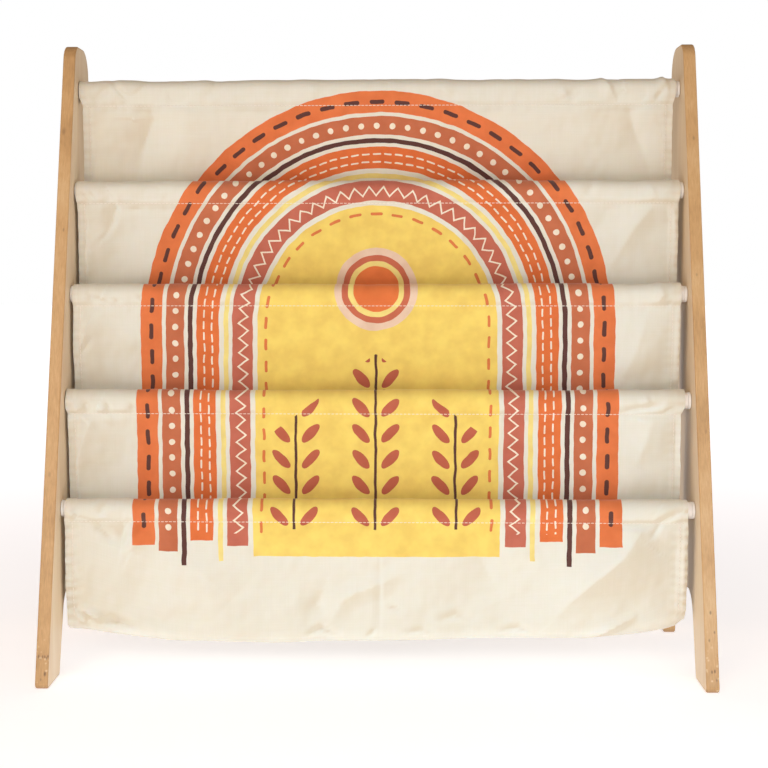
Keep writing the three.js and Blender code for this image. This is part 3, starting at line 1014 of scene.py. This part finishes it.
# Waves all over the cloth: height, length across and up, and a seed. All in millimetres
WAVES = [(4.0, 95, 70, 7.3), (0.8, 30, 24, 3.1), (0.3, 9, 11, 1.7)]
# On a sleeve the broadest waves keep this share, and near the ends the next ones double
broad_on_sleeve = 0.25
# A hem puckers this far in from the end, and turns this much for each millimetre down it
hem_reach = 16
hem_turn = 0.72
hem_pucker, lowest_hem_pucker = 0.3, 0.7
seam_pucker = 0.5
# A sleeve is loose. It stands off its rod, and its creases press it back this far at most
sleeve_slack = 0.9
sleeve_press = -0.1
# Below the part of a back wall that shows, the relief fades out over this share of the wall
fading = 0.2


def panel_of(tier, row):
    """The panel, numbered by the rod it hangs from, that a row shows or backs."""
    kind, at, _ = row
    return tier + 1 if kind in ("fold", "front") or at == TIERS else tier


def relief(tier, row, x, z):
    """How far the cloth stands out towards the eye at one place, in metres."""
    kind, at, share = row
    # How much of the relief each stretch of the cloth takes
    shown = {
        "tail": 1.0, "rear": 0.25, "over": 0.25 + 0.75 * eased(2 * share), "drop": 1.0,
        "back": 1 - eased((share - shown_share) / fading), "fold": eased(1.4 * share - 0.3), "front": 1.0,
    }[kind]
    if shown == 0:
        return 0.0
    panel = panel_of(tier, row)
    x_mm, z_mm = x / MM, z / MM
    from_seam = abs(z_mm - (rods[panel - 1].z / MM - SEAM_DROPS[panel - 1]))
    near_ends = eased((abs(x_mm) - 120) / 150)
    total = crease_height(panel, x_mm, z_mm)
    shares = (broad_on_sleeve if kind in ON_SLEEVE else 1, 1 + near_ends, 1)
    for (tall, across, up, seed), share_here in zip(WAVES, shares):
        total += tall * share_here * noise.noise((x_mm / across, z_mm / up, seed * panel))
    # Puckers of the side hems, and of the seam
    end = WALL_ENDS[panel - 1][0 if x_mm < 0 else 1]
    rim = max(0, 1 - abs(end - x_mm) / hem_reach)
    rim *= lowest_hem_pucker if panel > TIERS else hem_pucker
    total += rim * math.sin(hem_turn * z_mm + 2 * noise.noise((x_mm / 40, z_mm / 30, panel)))
    total += seam_pucker * math.exp(-(from_seam / 7) ** 2) * noise.noise((x_mm / 7, 0.2, 2.9 * panel))
    # The stitches hold the cloth down close to the seam
    total *= 0.3 + 0.7 * eased(from_seam / 6)
    if kind in ON_SLEEVE:
        total = max(total + sleeve_slack * eased(from_seam / 5), sleeve_press)
    # A hidden layer gives way where the one in front is pushed in, and else hangs flat lower down
    if total > 0 and (kind == "tail" or tier < TIERS):
        shown *= {"tail": 0.2, "fold": 0.0, "front": eased((share - 0.2) / 0.3)}.get(kind, 1.0)
    return total * shown * MM


def toward_eye(tier, row):
    """1 where the sheet's first side faces the eye, and -1 where its second side does."""
    kind, at, _ = row
    if kind == "tail":
        return -1 if at < TIERS else 1
    return -1 if kind == "front" or at == TIERS or (kind == "fold" and tier == TIERS) else 1


print("relief at the middle of tier 1:", round(relief(1, ("back", 0, 0.2), 0.0, 0.5) / MM, 2), "mm")

# %% [markdown]
# ### The sheets
# Each sheet is a grid of points: one row for each step along the cloth, one column for each
# step across, closer together near the ends, where it creases most. It keeps maps of where
# each point lies. One is the flat cloth, as it was cut, which the weave follows. The others
# follow the cloth as seen from the front, because the picture runs on from tier to tier.

# %% Make the four sheets
COLUMNS = 240
arch_middle = 326 * MM
centre_spread = 1.3
# The cloth's ends waver by this much, over this length
end_waver = 0.5 * MM
end_waver_length = 11 * MM
# The painted shade and highlight of a crease take these shares of its slope to the right, its slope up, and
# its hollow
PAINTED_SHADE_SHARES = (0.7, -0.6, -0.3)
# A side that turns to the light keeps this share of its painted highlight. A hem, doubled, is painted paler
painted_highlight_share = 0.4
hem_columns = 5
hem_tone = 0.06


def across_share(column):
    """Place of a column, from -1 to 1, with the columns crowded towards both ends."""
    even = 2 * column / COLUMNS - 1
    return centre_spread * even + (1 - centre_spread) * even ** 3


def seen_height(row, z):
    """Height where the picture continues. Behind a rod it goes on upwards from the rod's top."""
    kind, at, share = row
    if kind == "rear" or (kind == "over" and share < 0.5):
        return 2 * (rods[at].z + sleeve_radius) - z
    return z


def picture_maps(tier, row, x, z):
    """Two maps for the picture: (x, height, 1 if printed), and (angle, reach, leg) round an arch."""
    kind = row[0]
    bare = kind == "tail" or (tier < TIERS and kind in ("fold", "front"))
    seen_z = seen_height(row, z)
    over, under = max(seen_z - arch_middle, 0) / MM, max(arch_middle - seen_z, 0) / MM
    arch = (math.atan2(x / MM, over), math.hypot(x / MM, over), math.copysign(under, x))
    return (x / MM, seen_z / MM, 0.0 if bare else 1.0), arch


def painted_crease_shades(heights, places):
    """For each point, a painted shade: lighter the more it looks up and to the left, darker if it lies in a
    crease.
    """
    painted_shades = []
    last_row, last_column = len(heights) - 1, len(heights[0]) - 1
    for row, line in enumerate(heights):
        above, below = max(row - 1, 0), min(row + 1, last_row)
        for column, height in enumerate(line):
            left, right = max(column - 1, 0), min(column + 1, last_column)
            near = (line[left], line[right], heights[above][column], heights[below][column])
            run_x = places[row][right][0] - places[row][left][0]
            run_z = places[above][column][1] - places[below][column][1]
            slope_x = (near[1] - near[0]) / run_x
            slope_z = (near[2] - near[3]) / run_z if abs(run_z) > 0.5 * MM else 0
            hollow = (sum(near) / 4 - height) / MM
            at_hem = min(column, last_column - column) < hem_columns
            tone = sum(share * part for share, part in zip(PAINTED_SHADE_SHARES, (slope_x, slope_z, hollow)))
            painted_shades.append(min(tone, painted_highlight_share * tone) + (hem_tone if at_hem else 0))
    return painted_shades


def lay_sheet(tier):
    """Points, cut-cloth map, picture maps, painted crease shades and greatest length of one tier."""
    rows = tier_rows(tier)
    points, cut_map, place_map, arch_map = [], [], [], []
    heights, places = [], []
    path_length = [0.0] * (COLUMNS + 1)
    last = None
    for number, row in enumerate(rows):
        left, right = ends_of(tier, row)
        middle, half = (left + right) / 2, (right - left) / 2
        rows_near = rows[max(number - 1, 0)], rows[min(number + 1, len(rows) - 1)]
        line = []
        heights.append([])
        places.append([])
        for column in range(COLUMNS + 1):
            share = across_share(column)
            x = middle + half * share
            y, z = on_path(tier, row, x)
            waver = noise.noise((z / end_waver_length, 4.1 * tier, math.copysign(2.0, share)))
            x += end_waver * share ** 9 * waver
            (y_1, z_1), (y_2, z_2) = (on_path(tier, near, x) for near in rows_near)
            size = math.hypot(y_2 - y_1, z_2 - z_1)
            heights[-1].append(relief(tier, row, x, z))
            places[-1].append((x, z))
            lift = heights[-1][-1] * toward_eye(tier, row)
            points.append((x, y + lift * (z_2 - z_1) / size, z - lift * (y_2 - y_1) / size))
            if last is not None:
                path_length[column] += math.hypot(y - last[column][0], z - last[column][1])
            line.append((y, z))
            cut_map.append((x, path_length[column]))
            place, arch = picture_maps(tier, row, x, points[-1][2])
            place_map.append(place)
            arch_map.append(arch)
        last = line
    return points, cut_map, place_map, arch_map, painted_crease_shades(heights, places), max(path_length)


def add_sheet(tier):
    points, cut_map, place_map, arch_map, painted_shades, length = lay_sheet(tier)
    rows = tier_rows(tier)
    width = COLUMNS + 1
    corners = [number * width + column for number in range(len(rows) - 1) for column in range(COLUMNS)]
    faces = [(corner, corner + width, corner + width + 1, corner + 1) for corner in corners]
    sheet = add_mesh(f"sling_tier_{tier}", points, faces)
    mesh = sheet.data
    flat = mesh.uv_layers.new(name="cut_cloth")
    for loop in mesh.loops:
        flat.data[loop.index].uv = cut_map[loop.vertex_index]
    for name, values in (("print_place", place_map), ("arch_place", arch_map)):
        attribute = mesh.attributes.new(name, "FLOAT_VECTOR", "POINT")
        attribute.data.foreach_set("vector", [part for value in values for part in value])
    # Each point keeps its painted shade, which the canvas multiplies into its cream
    mesh.attributes.new("painted_crease_shade", "FLOAT", "POINT").data.foreach_set("value", painted_shades)
    hem = sheet.vertex_groups.new(name="hem")
    for index, (x, _) in enumerate(cut_map):
        left, right = ends_of(tier, rows[index // width])
        hem.add([index], 1.0 if min(x - left, right - x) < hem_width else 0.5, "REPLACE")
    for index, face in enumerate(mesh.polygons):
        face.material_index = 1 if toward_eye(tier, rows[index // COLUMNS]) < 0 else 0
        face.use_smooth = True
    return sheet, length


sheets = [add_sheet(tier) for tier in range(1, TIERS + 1)]
print("sheets:", [(sheet.name, round(length / MM)) for sheet, length in sheets])

# %% [markdown]
# ## Canvas
# The canvas is a plain weave of unbleached cotton. Its threads are about half a millimetre
# apart, too fine for the picture, so the weave is drawn about twice as coarse, and faint.
# Slubs, which are thicker lengths of yarn, streak it both ways. Cotton fuzz softens its
# edges, which the sheen of the shader gives.

# %% Canvas
thread_spacing = 1.0 * MM
slub_width = 1.2 * MM
slub_length = 40 * MM
painted_shade_range = 0.25


def canvas_material(name):
    """A canvas material, its tree and shader, its cream colour, and its relief."""
    material, tree, shader = new_material(
        name, Roughness=0.88, Sheen_Weight=0.2, Sheen_Roughness=0.5, Subsurface_Weight=0.3,
        Subsurface_Scale=1.0 * MM, Subsurface_Radius=(1.8, 1.2, 0.8))
    flat = add_node(tree, "UVMap", uv_map="cut_cloth")
    turns = 2 * math.pi / thread_spacing
    wound = add_node(tree, "VectorMath", {0: flat, 1: (turns, turns, 0)}, operation="MULTIPLY")
    threads = add_node(tree, "VectorMath", {0: wound}, operation="SINE")
    parts = add_node(tree, "SeparateXYZ", {"Vector": threads})
    weave = add_node(tree, "Math", {0: parts.outputs["X"], 1: parts.outputs["Y"]}, operation="MULTIPLY")
    wide, long = 1 / slub_width, 1 / slub_length
    streaks = []
    for scale in ((wide, long, 1), (long, wide, 1)):
        drawn_out = add_node(tree, "Mapping", {"Vector": flat, "Scale": scale})
        streaks.append(add_node(
            tree, "TexNoise", {"Vector": drawn_out, "Scale": 1.0, "Detail": 3.0, "Roughness": 0.55}))
    slubs = add_node(tree, "Mix", {0: 0.5, 2: streaks[0], 3: streaks[1]})
    cream = add_node(
        tree, "ValToRGB", {"Fac": slubs}, stops=[(0.34, "#f0f1e7"), (0.5, "#f2f3ea"), (0.66, "#f4f5ee")])
    # The thin cloth lets light through where it is flat. Where a crease turns from the light or lies in a
    # hollow, a browner tint is multiplied in as painted shade, and less of it where a crease turns to the
    # light
    tone = add_node(tree, "Attribute", attribute_name="painted_crease_shade").outputs["Fac"]
    shade = add_node(tree, "MapRange", {
        "Value": tone, "From Min": -painted_shade_range, "From Max": painted_shade_range, "To Min": 1.0, "To Max": 0.0})
    cream = add_node(
        tree, "Mix", {0: shade, 6: cream, 7: srgb("#e9dfd2")}, data_type="RGBA", blend_type="MULTIPLY")
    rough = add_node(tree, "Math", {0: weave, 1: 0.1, 2: slubs}, operation="MULTIPLY_ADD")
    return material, tree, shader, cream, rough


canvas_bump = 0.1
canvas_bump_depth = 0.4 * MM
plain_canvas, *plain_parts = canvas_material("unbleached_cotton_canvas")
dress(*plain_parts, canvas_bump, canvas_bump_depth)
print("made", plain_canvas.name)

# %% [markdown]
# ### The print
# The picture is a wide rainbow arch in orange, terracotta, yellow and dark brown, in flat
# inks that soak into the cloth. It could be painted in an image, but drawn as sums on the
# picture's maps it stays sharp at any size. A point's reach, its distance from the arch's
# middle line, picks its band through a colour ramp. Its angle and leg, multiplied out to a
# length along the band, place the dots and dashes.

# %% Bands of the arch
reach_limit = 240.0
height_limit = 200.0
# Inner and outer edge of each band, its ink, and the height where its legs end, in mm
BANDS = [
    (0, 117, "#fadb72", 112), (121, 141, "#c8705a", 122), (145, 150, "#f9e48d", 108),
    (154, 176, "#e6783c", 127), (180, 184, "#5f3832", 104), (188, 206, "#cb754f", 117),
    (210, 230, "#e98048", 123),
]
printed_canvas, print_tree, print_shader, print_cream, print_rough = canvas_material(
    "printed_cotton_canvas")
place = add_node(print_tree, "Attribute", attribute_name="print_place").outputs["Vector"]
arch = add_node(print_tree, "Attribute", attribute_name="arch_place").outputs["Vector"]
# The edges of the inks wander by a millimetre either way, as if drawn by hand
wander = 2.4
hand = add_node(print_tree, "TexNoise", {"Vector": place, "Scale": 0.07, "Detail": 1.0}).outputs["Color"]
steady_arch = add_node(
    print_tree, "VectorMath", {0: hand, 1: (0, wander, wander), 2: arch}, operation="MULTIPLY_ADD")
steady_place = add_node(
    print_tree, "VectorMath", {0: hand, 1: (wander, wander, 0), 2: place}, operation="MULTIPLY_ADD")
arch_parts = add_node(print_tree, "SeparateXYZ", {"Vector": steady_arch})
angle, reach, leg = arch_parts.outputs
place_parts = add_node(print_tree, "SeparateXYZ", {"Vector": steady_place})
print_x, print_z, printed = place_parts.outputs


def lay_ink(under, ink, shape, *regions):
    """Lay an ink over a picture, where a shape and some regions overlap."""
    for region in regions:
        shape = add_node(print_tree, "Math", {0: shape, 1: region}, operation="MULTIPLY")
    return add_node(print_tree, "Mix", {0: shape, 6: under, 7: ink}, data_type="RGBA")


ink_stops, band_stops, end_stops = [], [], []
for inner, outer, ink, leg_end in BANDS:
    ink_stops.append((inner / reach_limit, ink))
    band_stops += [(inner / reach_limit, 1.0), (outer / reach_limit, 0.0)]
    end_stops.append((inner / reach_limit, leg_end / height_limit))
reach_share = add_node(print_tree, "Math", {0: reach, 1: reach_limit}, operation="DIVIDE")
ramps = []
for stops in (ink_stops, band_stops, end_stops):
    ramp = add_node(print_tree, "ValToRGB", {"Fac": reach_share}, stops=stops)
    ramp.color_ramp.interpolation = "CONSTANT"
    ramps.append(ramp)
ink_ramp, band_ramp, end_ramp = ramps
leg_end = add_node(print_tree, "Math", {0: end_ramp, 1: height_limit}, operation="MULTIPLY")
above_end = add_node(print_tree, "Math", {0: print_z, 1: leg_end}, operation="GREATER_THAN")
in_band = add_node(print_tree, "Math", {0: band_ramp, 1: above_end}, operation="MULTIPLY")
inked = add_node(print_tree, "Math", {0: in_band, 1: printed}, operation="MULTIPLY")
picture = lay_ink(print_cream, ink_ramp, inked)
print("bands:", len(BANDS))

# %% Dots, dashes and a zigzag along the bands
ink_brown = "#5f3832"
ink_pale = "#f8ecd8"
ink_yellow = "#f9e48d"
# Reach of the row, spacing, half length and half width of a mark, in mm, and its ink
MARKS = [
    (220, 25, 5.5, 2.0, ink_brown), (197, 15.5, 0, 3.0, ink_pale), (169, 11, 3.2, 0.8, ink_pale),
    (161, 11, 3.2, 0.8, ink_pale), (109, 21, 4.5, 1.4, "#e28048"),
]
zigzag_reach, zigzag_step, zigzag_swing, zigzag_half = 131.0, 14.0, 4.4, 1.2
marks_end = 134.0


def length_along(row_reach):
    """A node with the length along the arch, at one reach."""
    return add_node(print_tree, "Math", {0: angle, 1: float(row_reach), 2: leg}, operation="MULTIPLY_ADD")


drawn = add_node(print_tree, "Math", {0: print_z, 1: marks_end}, operation="GREATER_THAN")
drawn = add_node(print_tree, "Math", {0: drawn, 1: printed}, operation="MULTIPLY")
for row_reach, spacing, half_length, half_width, ink in MARKS:
    from_mark = add_node(
        print_tree, "Math", {0: length_along(row_reach), 1: spacing / 2}, operation="PINGPONG")
    past_end = add_node(print_tree, "Math", {0: from_mark, 1: float(half_length)}, operation="SUBTRACT")
    past_end = add_node(print_tree, "Math", {0: past_end, 1: 0.0}, operation="MAXIMUM")
    aside = add_node(print_tree, "Math", {0: reach, 1: float(row_reach)}, operation="SUBTRACT")
    offset = add_node(print_tree, "CombineXYZ", {"X": past_end, "Y": aside})
    distance = add_node(print_tree, "VectorMath", {0: offset}, operation="LENGTH").outputs["Value"]
    mark = add_node(print_tree, "Math", {0: distance, 1: half_width}, operation="LESS_THAN")
    picture = lay_ink(picture, srgb(ink), mark, drawn)
wave = add_node(
    print_tree, "Math", {0: length_along(zigzag_reach), 1: zigzag_step / 2}, operation="PINGPONG")
slope = 4 * zigzag_swing / zigzag_step
line_reach = add_node(
    print_tree, "Math", {0: wave, 1: slope, 2: zigzag_reach - zigzag_swing}, operation="MULTIPLY_ADD")
zigzag = add_node(print_tree, "Math", {0: reach, 1: line_reach, 2: zigzag_half}, operation="COMPARE")
picture = lay_ink(picture, srgb(ink_pale), zigzag, drawn)
print("rows of marks:", len(MARKS) + 1)

# %% [markdown]
# A sun hangs in the doorway of the arch, over a bed of sprigs. The sun is one more ramp, on
# the distance from its middle. A sprig's leaves are one ellipse, turned, mirrored by taking
# the distance from the nearest stem, and repeated up the stem by taking a remainder.

# %% Sun and sprigs
sun_place = (0.0, 362.0, 1.0)
sun_limit = 50.0
SUN_RINGS = [(0, "#ea7e40"), (22, ink_yellow), (27, "#cd7052"), (33, "#f0d2ba"), (40, "#f0d2ba")]
stem_low, stem_high, stem_spacing, stem_drop = 138.0, 300.0, 76.0, 0.75
stem_half = 1.3
bed_half = 1.3 * stem_spacing
leaf_step, leaf_out = 25.0, 14.0
leaf_half = (4.6, 11.5)
leaf_lean = math.radians(-42)

from_sun = add_node(
    print_tree, "VectorMath", {0: steady_place, 1: sun_place}, operation="DISTANCE").outputs["Value"]
sun_share = add_node(print_tree, "Math", {0: from_sun, 1: sun_limit}, operation="DIVIDE")
sun = add_node(
    print_tree, "ValToRGB", {"Fac": sun_share}, stops=[(edge / sun_limit, ink) for edge, ink in SUN_RINGS])
sun.color_ramp.interpolation = "CONSTANT"
in_sun = add_node(print_tree, "Math", {0: from_sun, 1: float(SUN_RINGS[-1][0])}, operation="LESS_THAN")
picture = lay_ink(picture, sun, in_sun)

from_stem = add_node(print_tree, "Math", {0: print_x, 1: stem_spacing / 2}, operation="PINGPONG")
aside = add_node(print_tree, "Math", {0: print_x}, operation="ABSOLUTE")
stem_top = add_node(print_tree, "Math", {0: aside, 1: -stem_drop, 2: stem_high}, operation="MULTIPLY_ADD")
below_top = add_node(print_tree, "Math", {0: print_z, 1: stem_top}, operation="LESS_THAN")
above_foot = add_node(print_tree, "Math", {0: print_z, 1: stem_low}, operation="GREATER_THAN")
in_bed = add_node(print_tree, "Math", {0: aside, 1: bed_half}, operation="LESS_THAN")
for test in (below_top, above_foot, printed):
    in_bed = add_node(print_tree, "Math", {0: in_bed, 1: test}, operation="MULTIPLY")
up_stem = add_node(print_tree, "Math", {0: print_z, 1: stem_low}, operation="SUBTRACT")
up_stem = add_node(print_tree, "Math", {0: up_stem, 1: leaf_step}, operation="DIVIDE")
up_stem = add_node(print_tree, "Math", {0: up_stem}, operation="FRACT")
up_leaf = add_node(
    print_tree, "Math", {0: up_stem, 1: leaf_step, 2: -leaf_step / 2}, operation="MULTIPLY_ADD")
out_leaf = add_node(print_tree, "Math", {0: from_stem, 1: leaf_out}, operation="SUBTRACT")
on_leaf = add_node(print_tree, "CombineXYZ", {"X": out_leaf, "Y": up_leaf})
on_leaf = add_node(
    print_tree, "VectorRotate", {"Vector": on_leaf, "Angle": -leaf_lean}, rotation_type="Z_AXIS")
leaf_sizes = (1 / leaf_half[0], 1 / leaf_half[1], 0)
on_leaf = add_node(print_tree, "VectorMath", {0: on_leaf, 1: leaf_sizes}, operation="MULTIPLY")
leaf_reach = add_node(print_tree, "VectorMath", {0: on_leaf}, operation="LENGTH").outputs["Value"]
for shape, limit, ink in ((leaf_reach, 1.0, "#c0634a"), (from_stem, stem_half, ink_brown)):
    inside = add_node(print_tree, "Math", {0: shape, 1: limit}, operation="LESS_THAN")
    picture = lay_ink(picture, srgb(ink), inside, in_bed)
print("sun and sprigs drawn")

# %% Soak the inks into the cloth
mottle_size = 18.0
mottle = add_node(print_tree, "TexNoise", {"Vector": place, "Scale": 1 / mottle_size, "Detail": 4.0})
soaked = add_node(print_tree, "ValToRGB", {"Fac": mottle}, stops=[(0.35, "#f3eeea"), (0.65, "#ffffff")])
picture = add_node(
    print_tree, "Mix", {0: inked, 6: picture, 7: soaked}, data_type="RGBA", blend_type="MULTIPLY")
dress(print_tree, print_shader, picture, print_rough, canvas_bump, canvas_bump_depth)
print("made", printed_canvas.name, "with", len(print_tree.nodes), "nodes")

# %% Thickness, hems and finish of the sheets
for tier, (sheet, length) in enumerate(sheets, start=1):
    for canvas in (printed_canvas, plain_canvas, printed_canvas):
        sheet.data.materials.append(canvas)
    apply_modifier(
        sheet, "SOLIDIFY", thickness=2 * cloth, offset=0, vertex_group="hem",
        use_quality_normals=True, material_offset=1, material_offset_rim=1,
    )
    sheet.vertex_groups.clear()
    smooth(sheet, 50)
    nodes = [f"sling_sleeve_{tier}", f"sling_pocket_{tier}_back", f"sling_pocket_{tier}_fold"]
    nodes.append(f"sling_pocket_{tier}_front")
    if tier == TIERS:
        nodes.append(f"sling_sleeve_{TIERS + 1}")
    finish_piece(sheet, nodes)

# %% [markdown]
# ## Stitches
# White cotton thread holds each sleeve closed and each side hem down. Seen on the print it is
# a thin pale line. A bump could hint at it, but real stitches catch the light and show in
# the mesh. One stitch is modelled, a short rod of thread that dips at both ends, and it is
# set out along every seam and hem at its real length.

# %% Cotton thread
thread_twist = 0.9 * MM


def thread_material():
    material, tree, shader = new_material(
        "white_cotton_thread", Roughness=0.7, Sheen_Weight=0.3, Sheen_Roughness=0.4)
    place = add_node(tree, "TexCoord").outputs["Object"]
    twist = add_node(
        tree, "TexWave", {"Vector": place, "Scale": 1 / thread_twist}, bands_direction="DIAGONAL")
    colour = add_node(tree, "ValToRGB", {"Fac": twist}, stops=[(0.0, "#efe6d8"), (1.0, "#f8f2e8")])
    dress(tree, shader, colour, twist.outputs["Fac"], 0.3, 0.2 * MM)
    return material


thread = thread_material()
print("made", thread.name)

# %% One stitch
stitch_length = 3.1 * MM
stitch_gap = 0.7 * MM
thread_radius = 0.34 * MM
# Three fifths of a stitch lie level, and each end dips over one fifth and gets thinner
half_level = 0.3 * stitch_length
end_length = 0.2 * stitch_length
dip = 0.3 * MM
end_thinning = 0.55

stitch = added_cylinder("stitch", -half_level, half_level, thread_radius, 6, Vector())
for side in (-1, 1):
    pick_faces(stitch, lambda middle, normal: normal.x * side > squarely)
    bpy.ops.mesh.extrude_region_move(TRANSFORM_OT_translate={"value": (side * end_length, 0, -dip)})
    bpy.ops.transform.resize(value=(1, end_thinning, end_thinning))
choose()
stitch_points = [point.co.copy() for point in stitch.data.vertices]
stitch_faces = [tuple(face.vertices) for face in stitch.data.polygons]
bpy.data.objects.remove(stitch)
print("stitch:", len(stitch_points), "points,", len(stitch_faces), "faces")

# %% Rows of stitches
from_hem_edge = 7 * MM
corner_inset = 3 * MM
# A thread is pulled into the cloth, so its middle lies this share of its radius outside
thread_outside = 0.4


def wall_point(tier, row, x, side=1):
    """A point on the outside of an upright stretch of cloth, on the eye's side or behind it."""
    y, z = on_path(tier, row, x)
    left, right = ends_of(tier, row)
    half = cloth if min(x - left, right - x) < hem_width else cloth / 2
    return Vector((x, y - relief(tier, row, x, z) - side * (half + thread_outside * thread_radius), z))


def sew(name, lines):
    """One mesh with a stitch on each step of some lines of points. Each line has its side."""
    points, faces = [], []
    for line, side in lines:
        outward = Vector((0, -side, 0))
        for start, end in zip(line, line[1:]):
            along = (end - start).normalized()
            across = outward.cross(along).normalized()
            turn = Matrix((along, across, along.cross(across))).transposed()
            middle = (start + end) / 2
            first = len(points)
            points += [middle + turn @ point for point in stitch_points]
            faces += [tuple(first + corner for corner in face) for face in stitch_faces]
    sewn = add_mesh(name, points, faces)
    sewn.data.materials.append(thread)
    smooth(sewn, 40)
    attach(sewn, "root")
    print(name, "has", len(faces) // len(stitch_faces), "stitches")


def seam_line(panel, side):
    """Points one stitch apart along the seam of a panel."""
    tier, row = (panel, ("back", panel - 1, 0.0)) if panel <= TIERS else (TIERS, ("front", TIERS, 1.0))
    left, right = ends_of(tier, row)
    run = right - left - 2 * corner_inset
    count = int(run / (stitch_length + stitch_gap))
    places = [left + corner_inset + run * index / count for index in range(count + 1)]
    return [wall_point(tier, row, x, side) for x in places]


def hem_line(panel, end, side):
    """Points one stitch apart down a side hem of a panel."""
    kind, tier = ("back", panel) if panel <= TIERS else ("front", TIERS)
    at = panel - 1
    inset = (from_hem_edge, -from_hem_edge)[end]
    first, last = (on_path(tier, (kind, at, share), 0)[1] for share in (0.0, 1.0))
    count = int(abs(last - first) / (stitch_length + stitch_gap))
    rows = [(kind, at, index / count) for index in range(count + 1)]
    return [wall_point(tier, row, ends_of(tier, row)[end] + inset, side) for row in rows]


sew("seam_stitches", [(seam_line(panel, 1), 1) for panel in range(1, TIERS + 2)])
sew("rear_seam_stitches", [(seam_line(TIERS + 1, -1), -1)])
hem_runs = [
    (hem_line(panel, end, side), side)
    for panel in range(1, TIERS + 2) for end in (0, 1) for side in (1, -1)]
sew("hem_stitches", hem_runs)
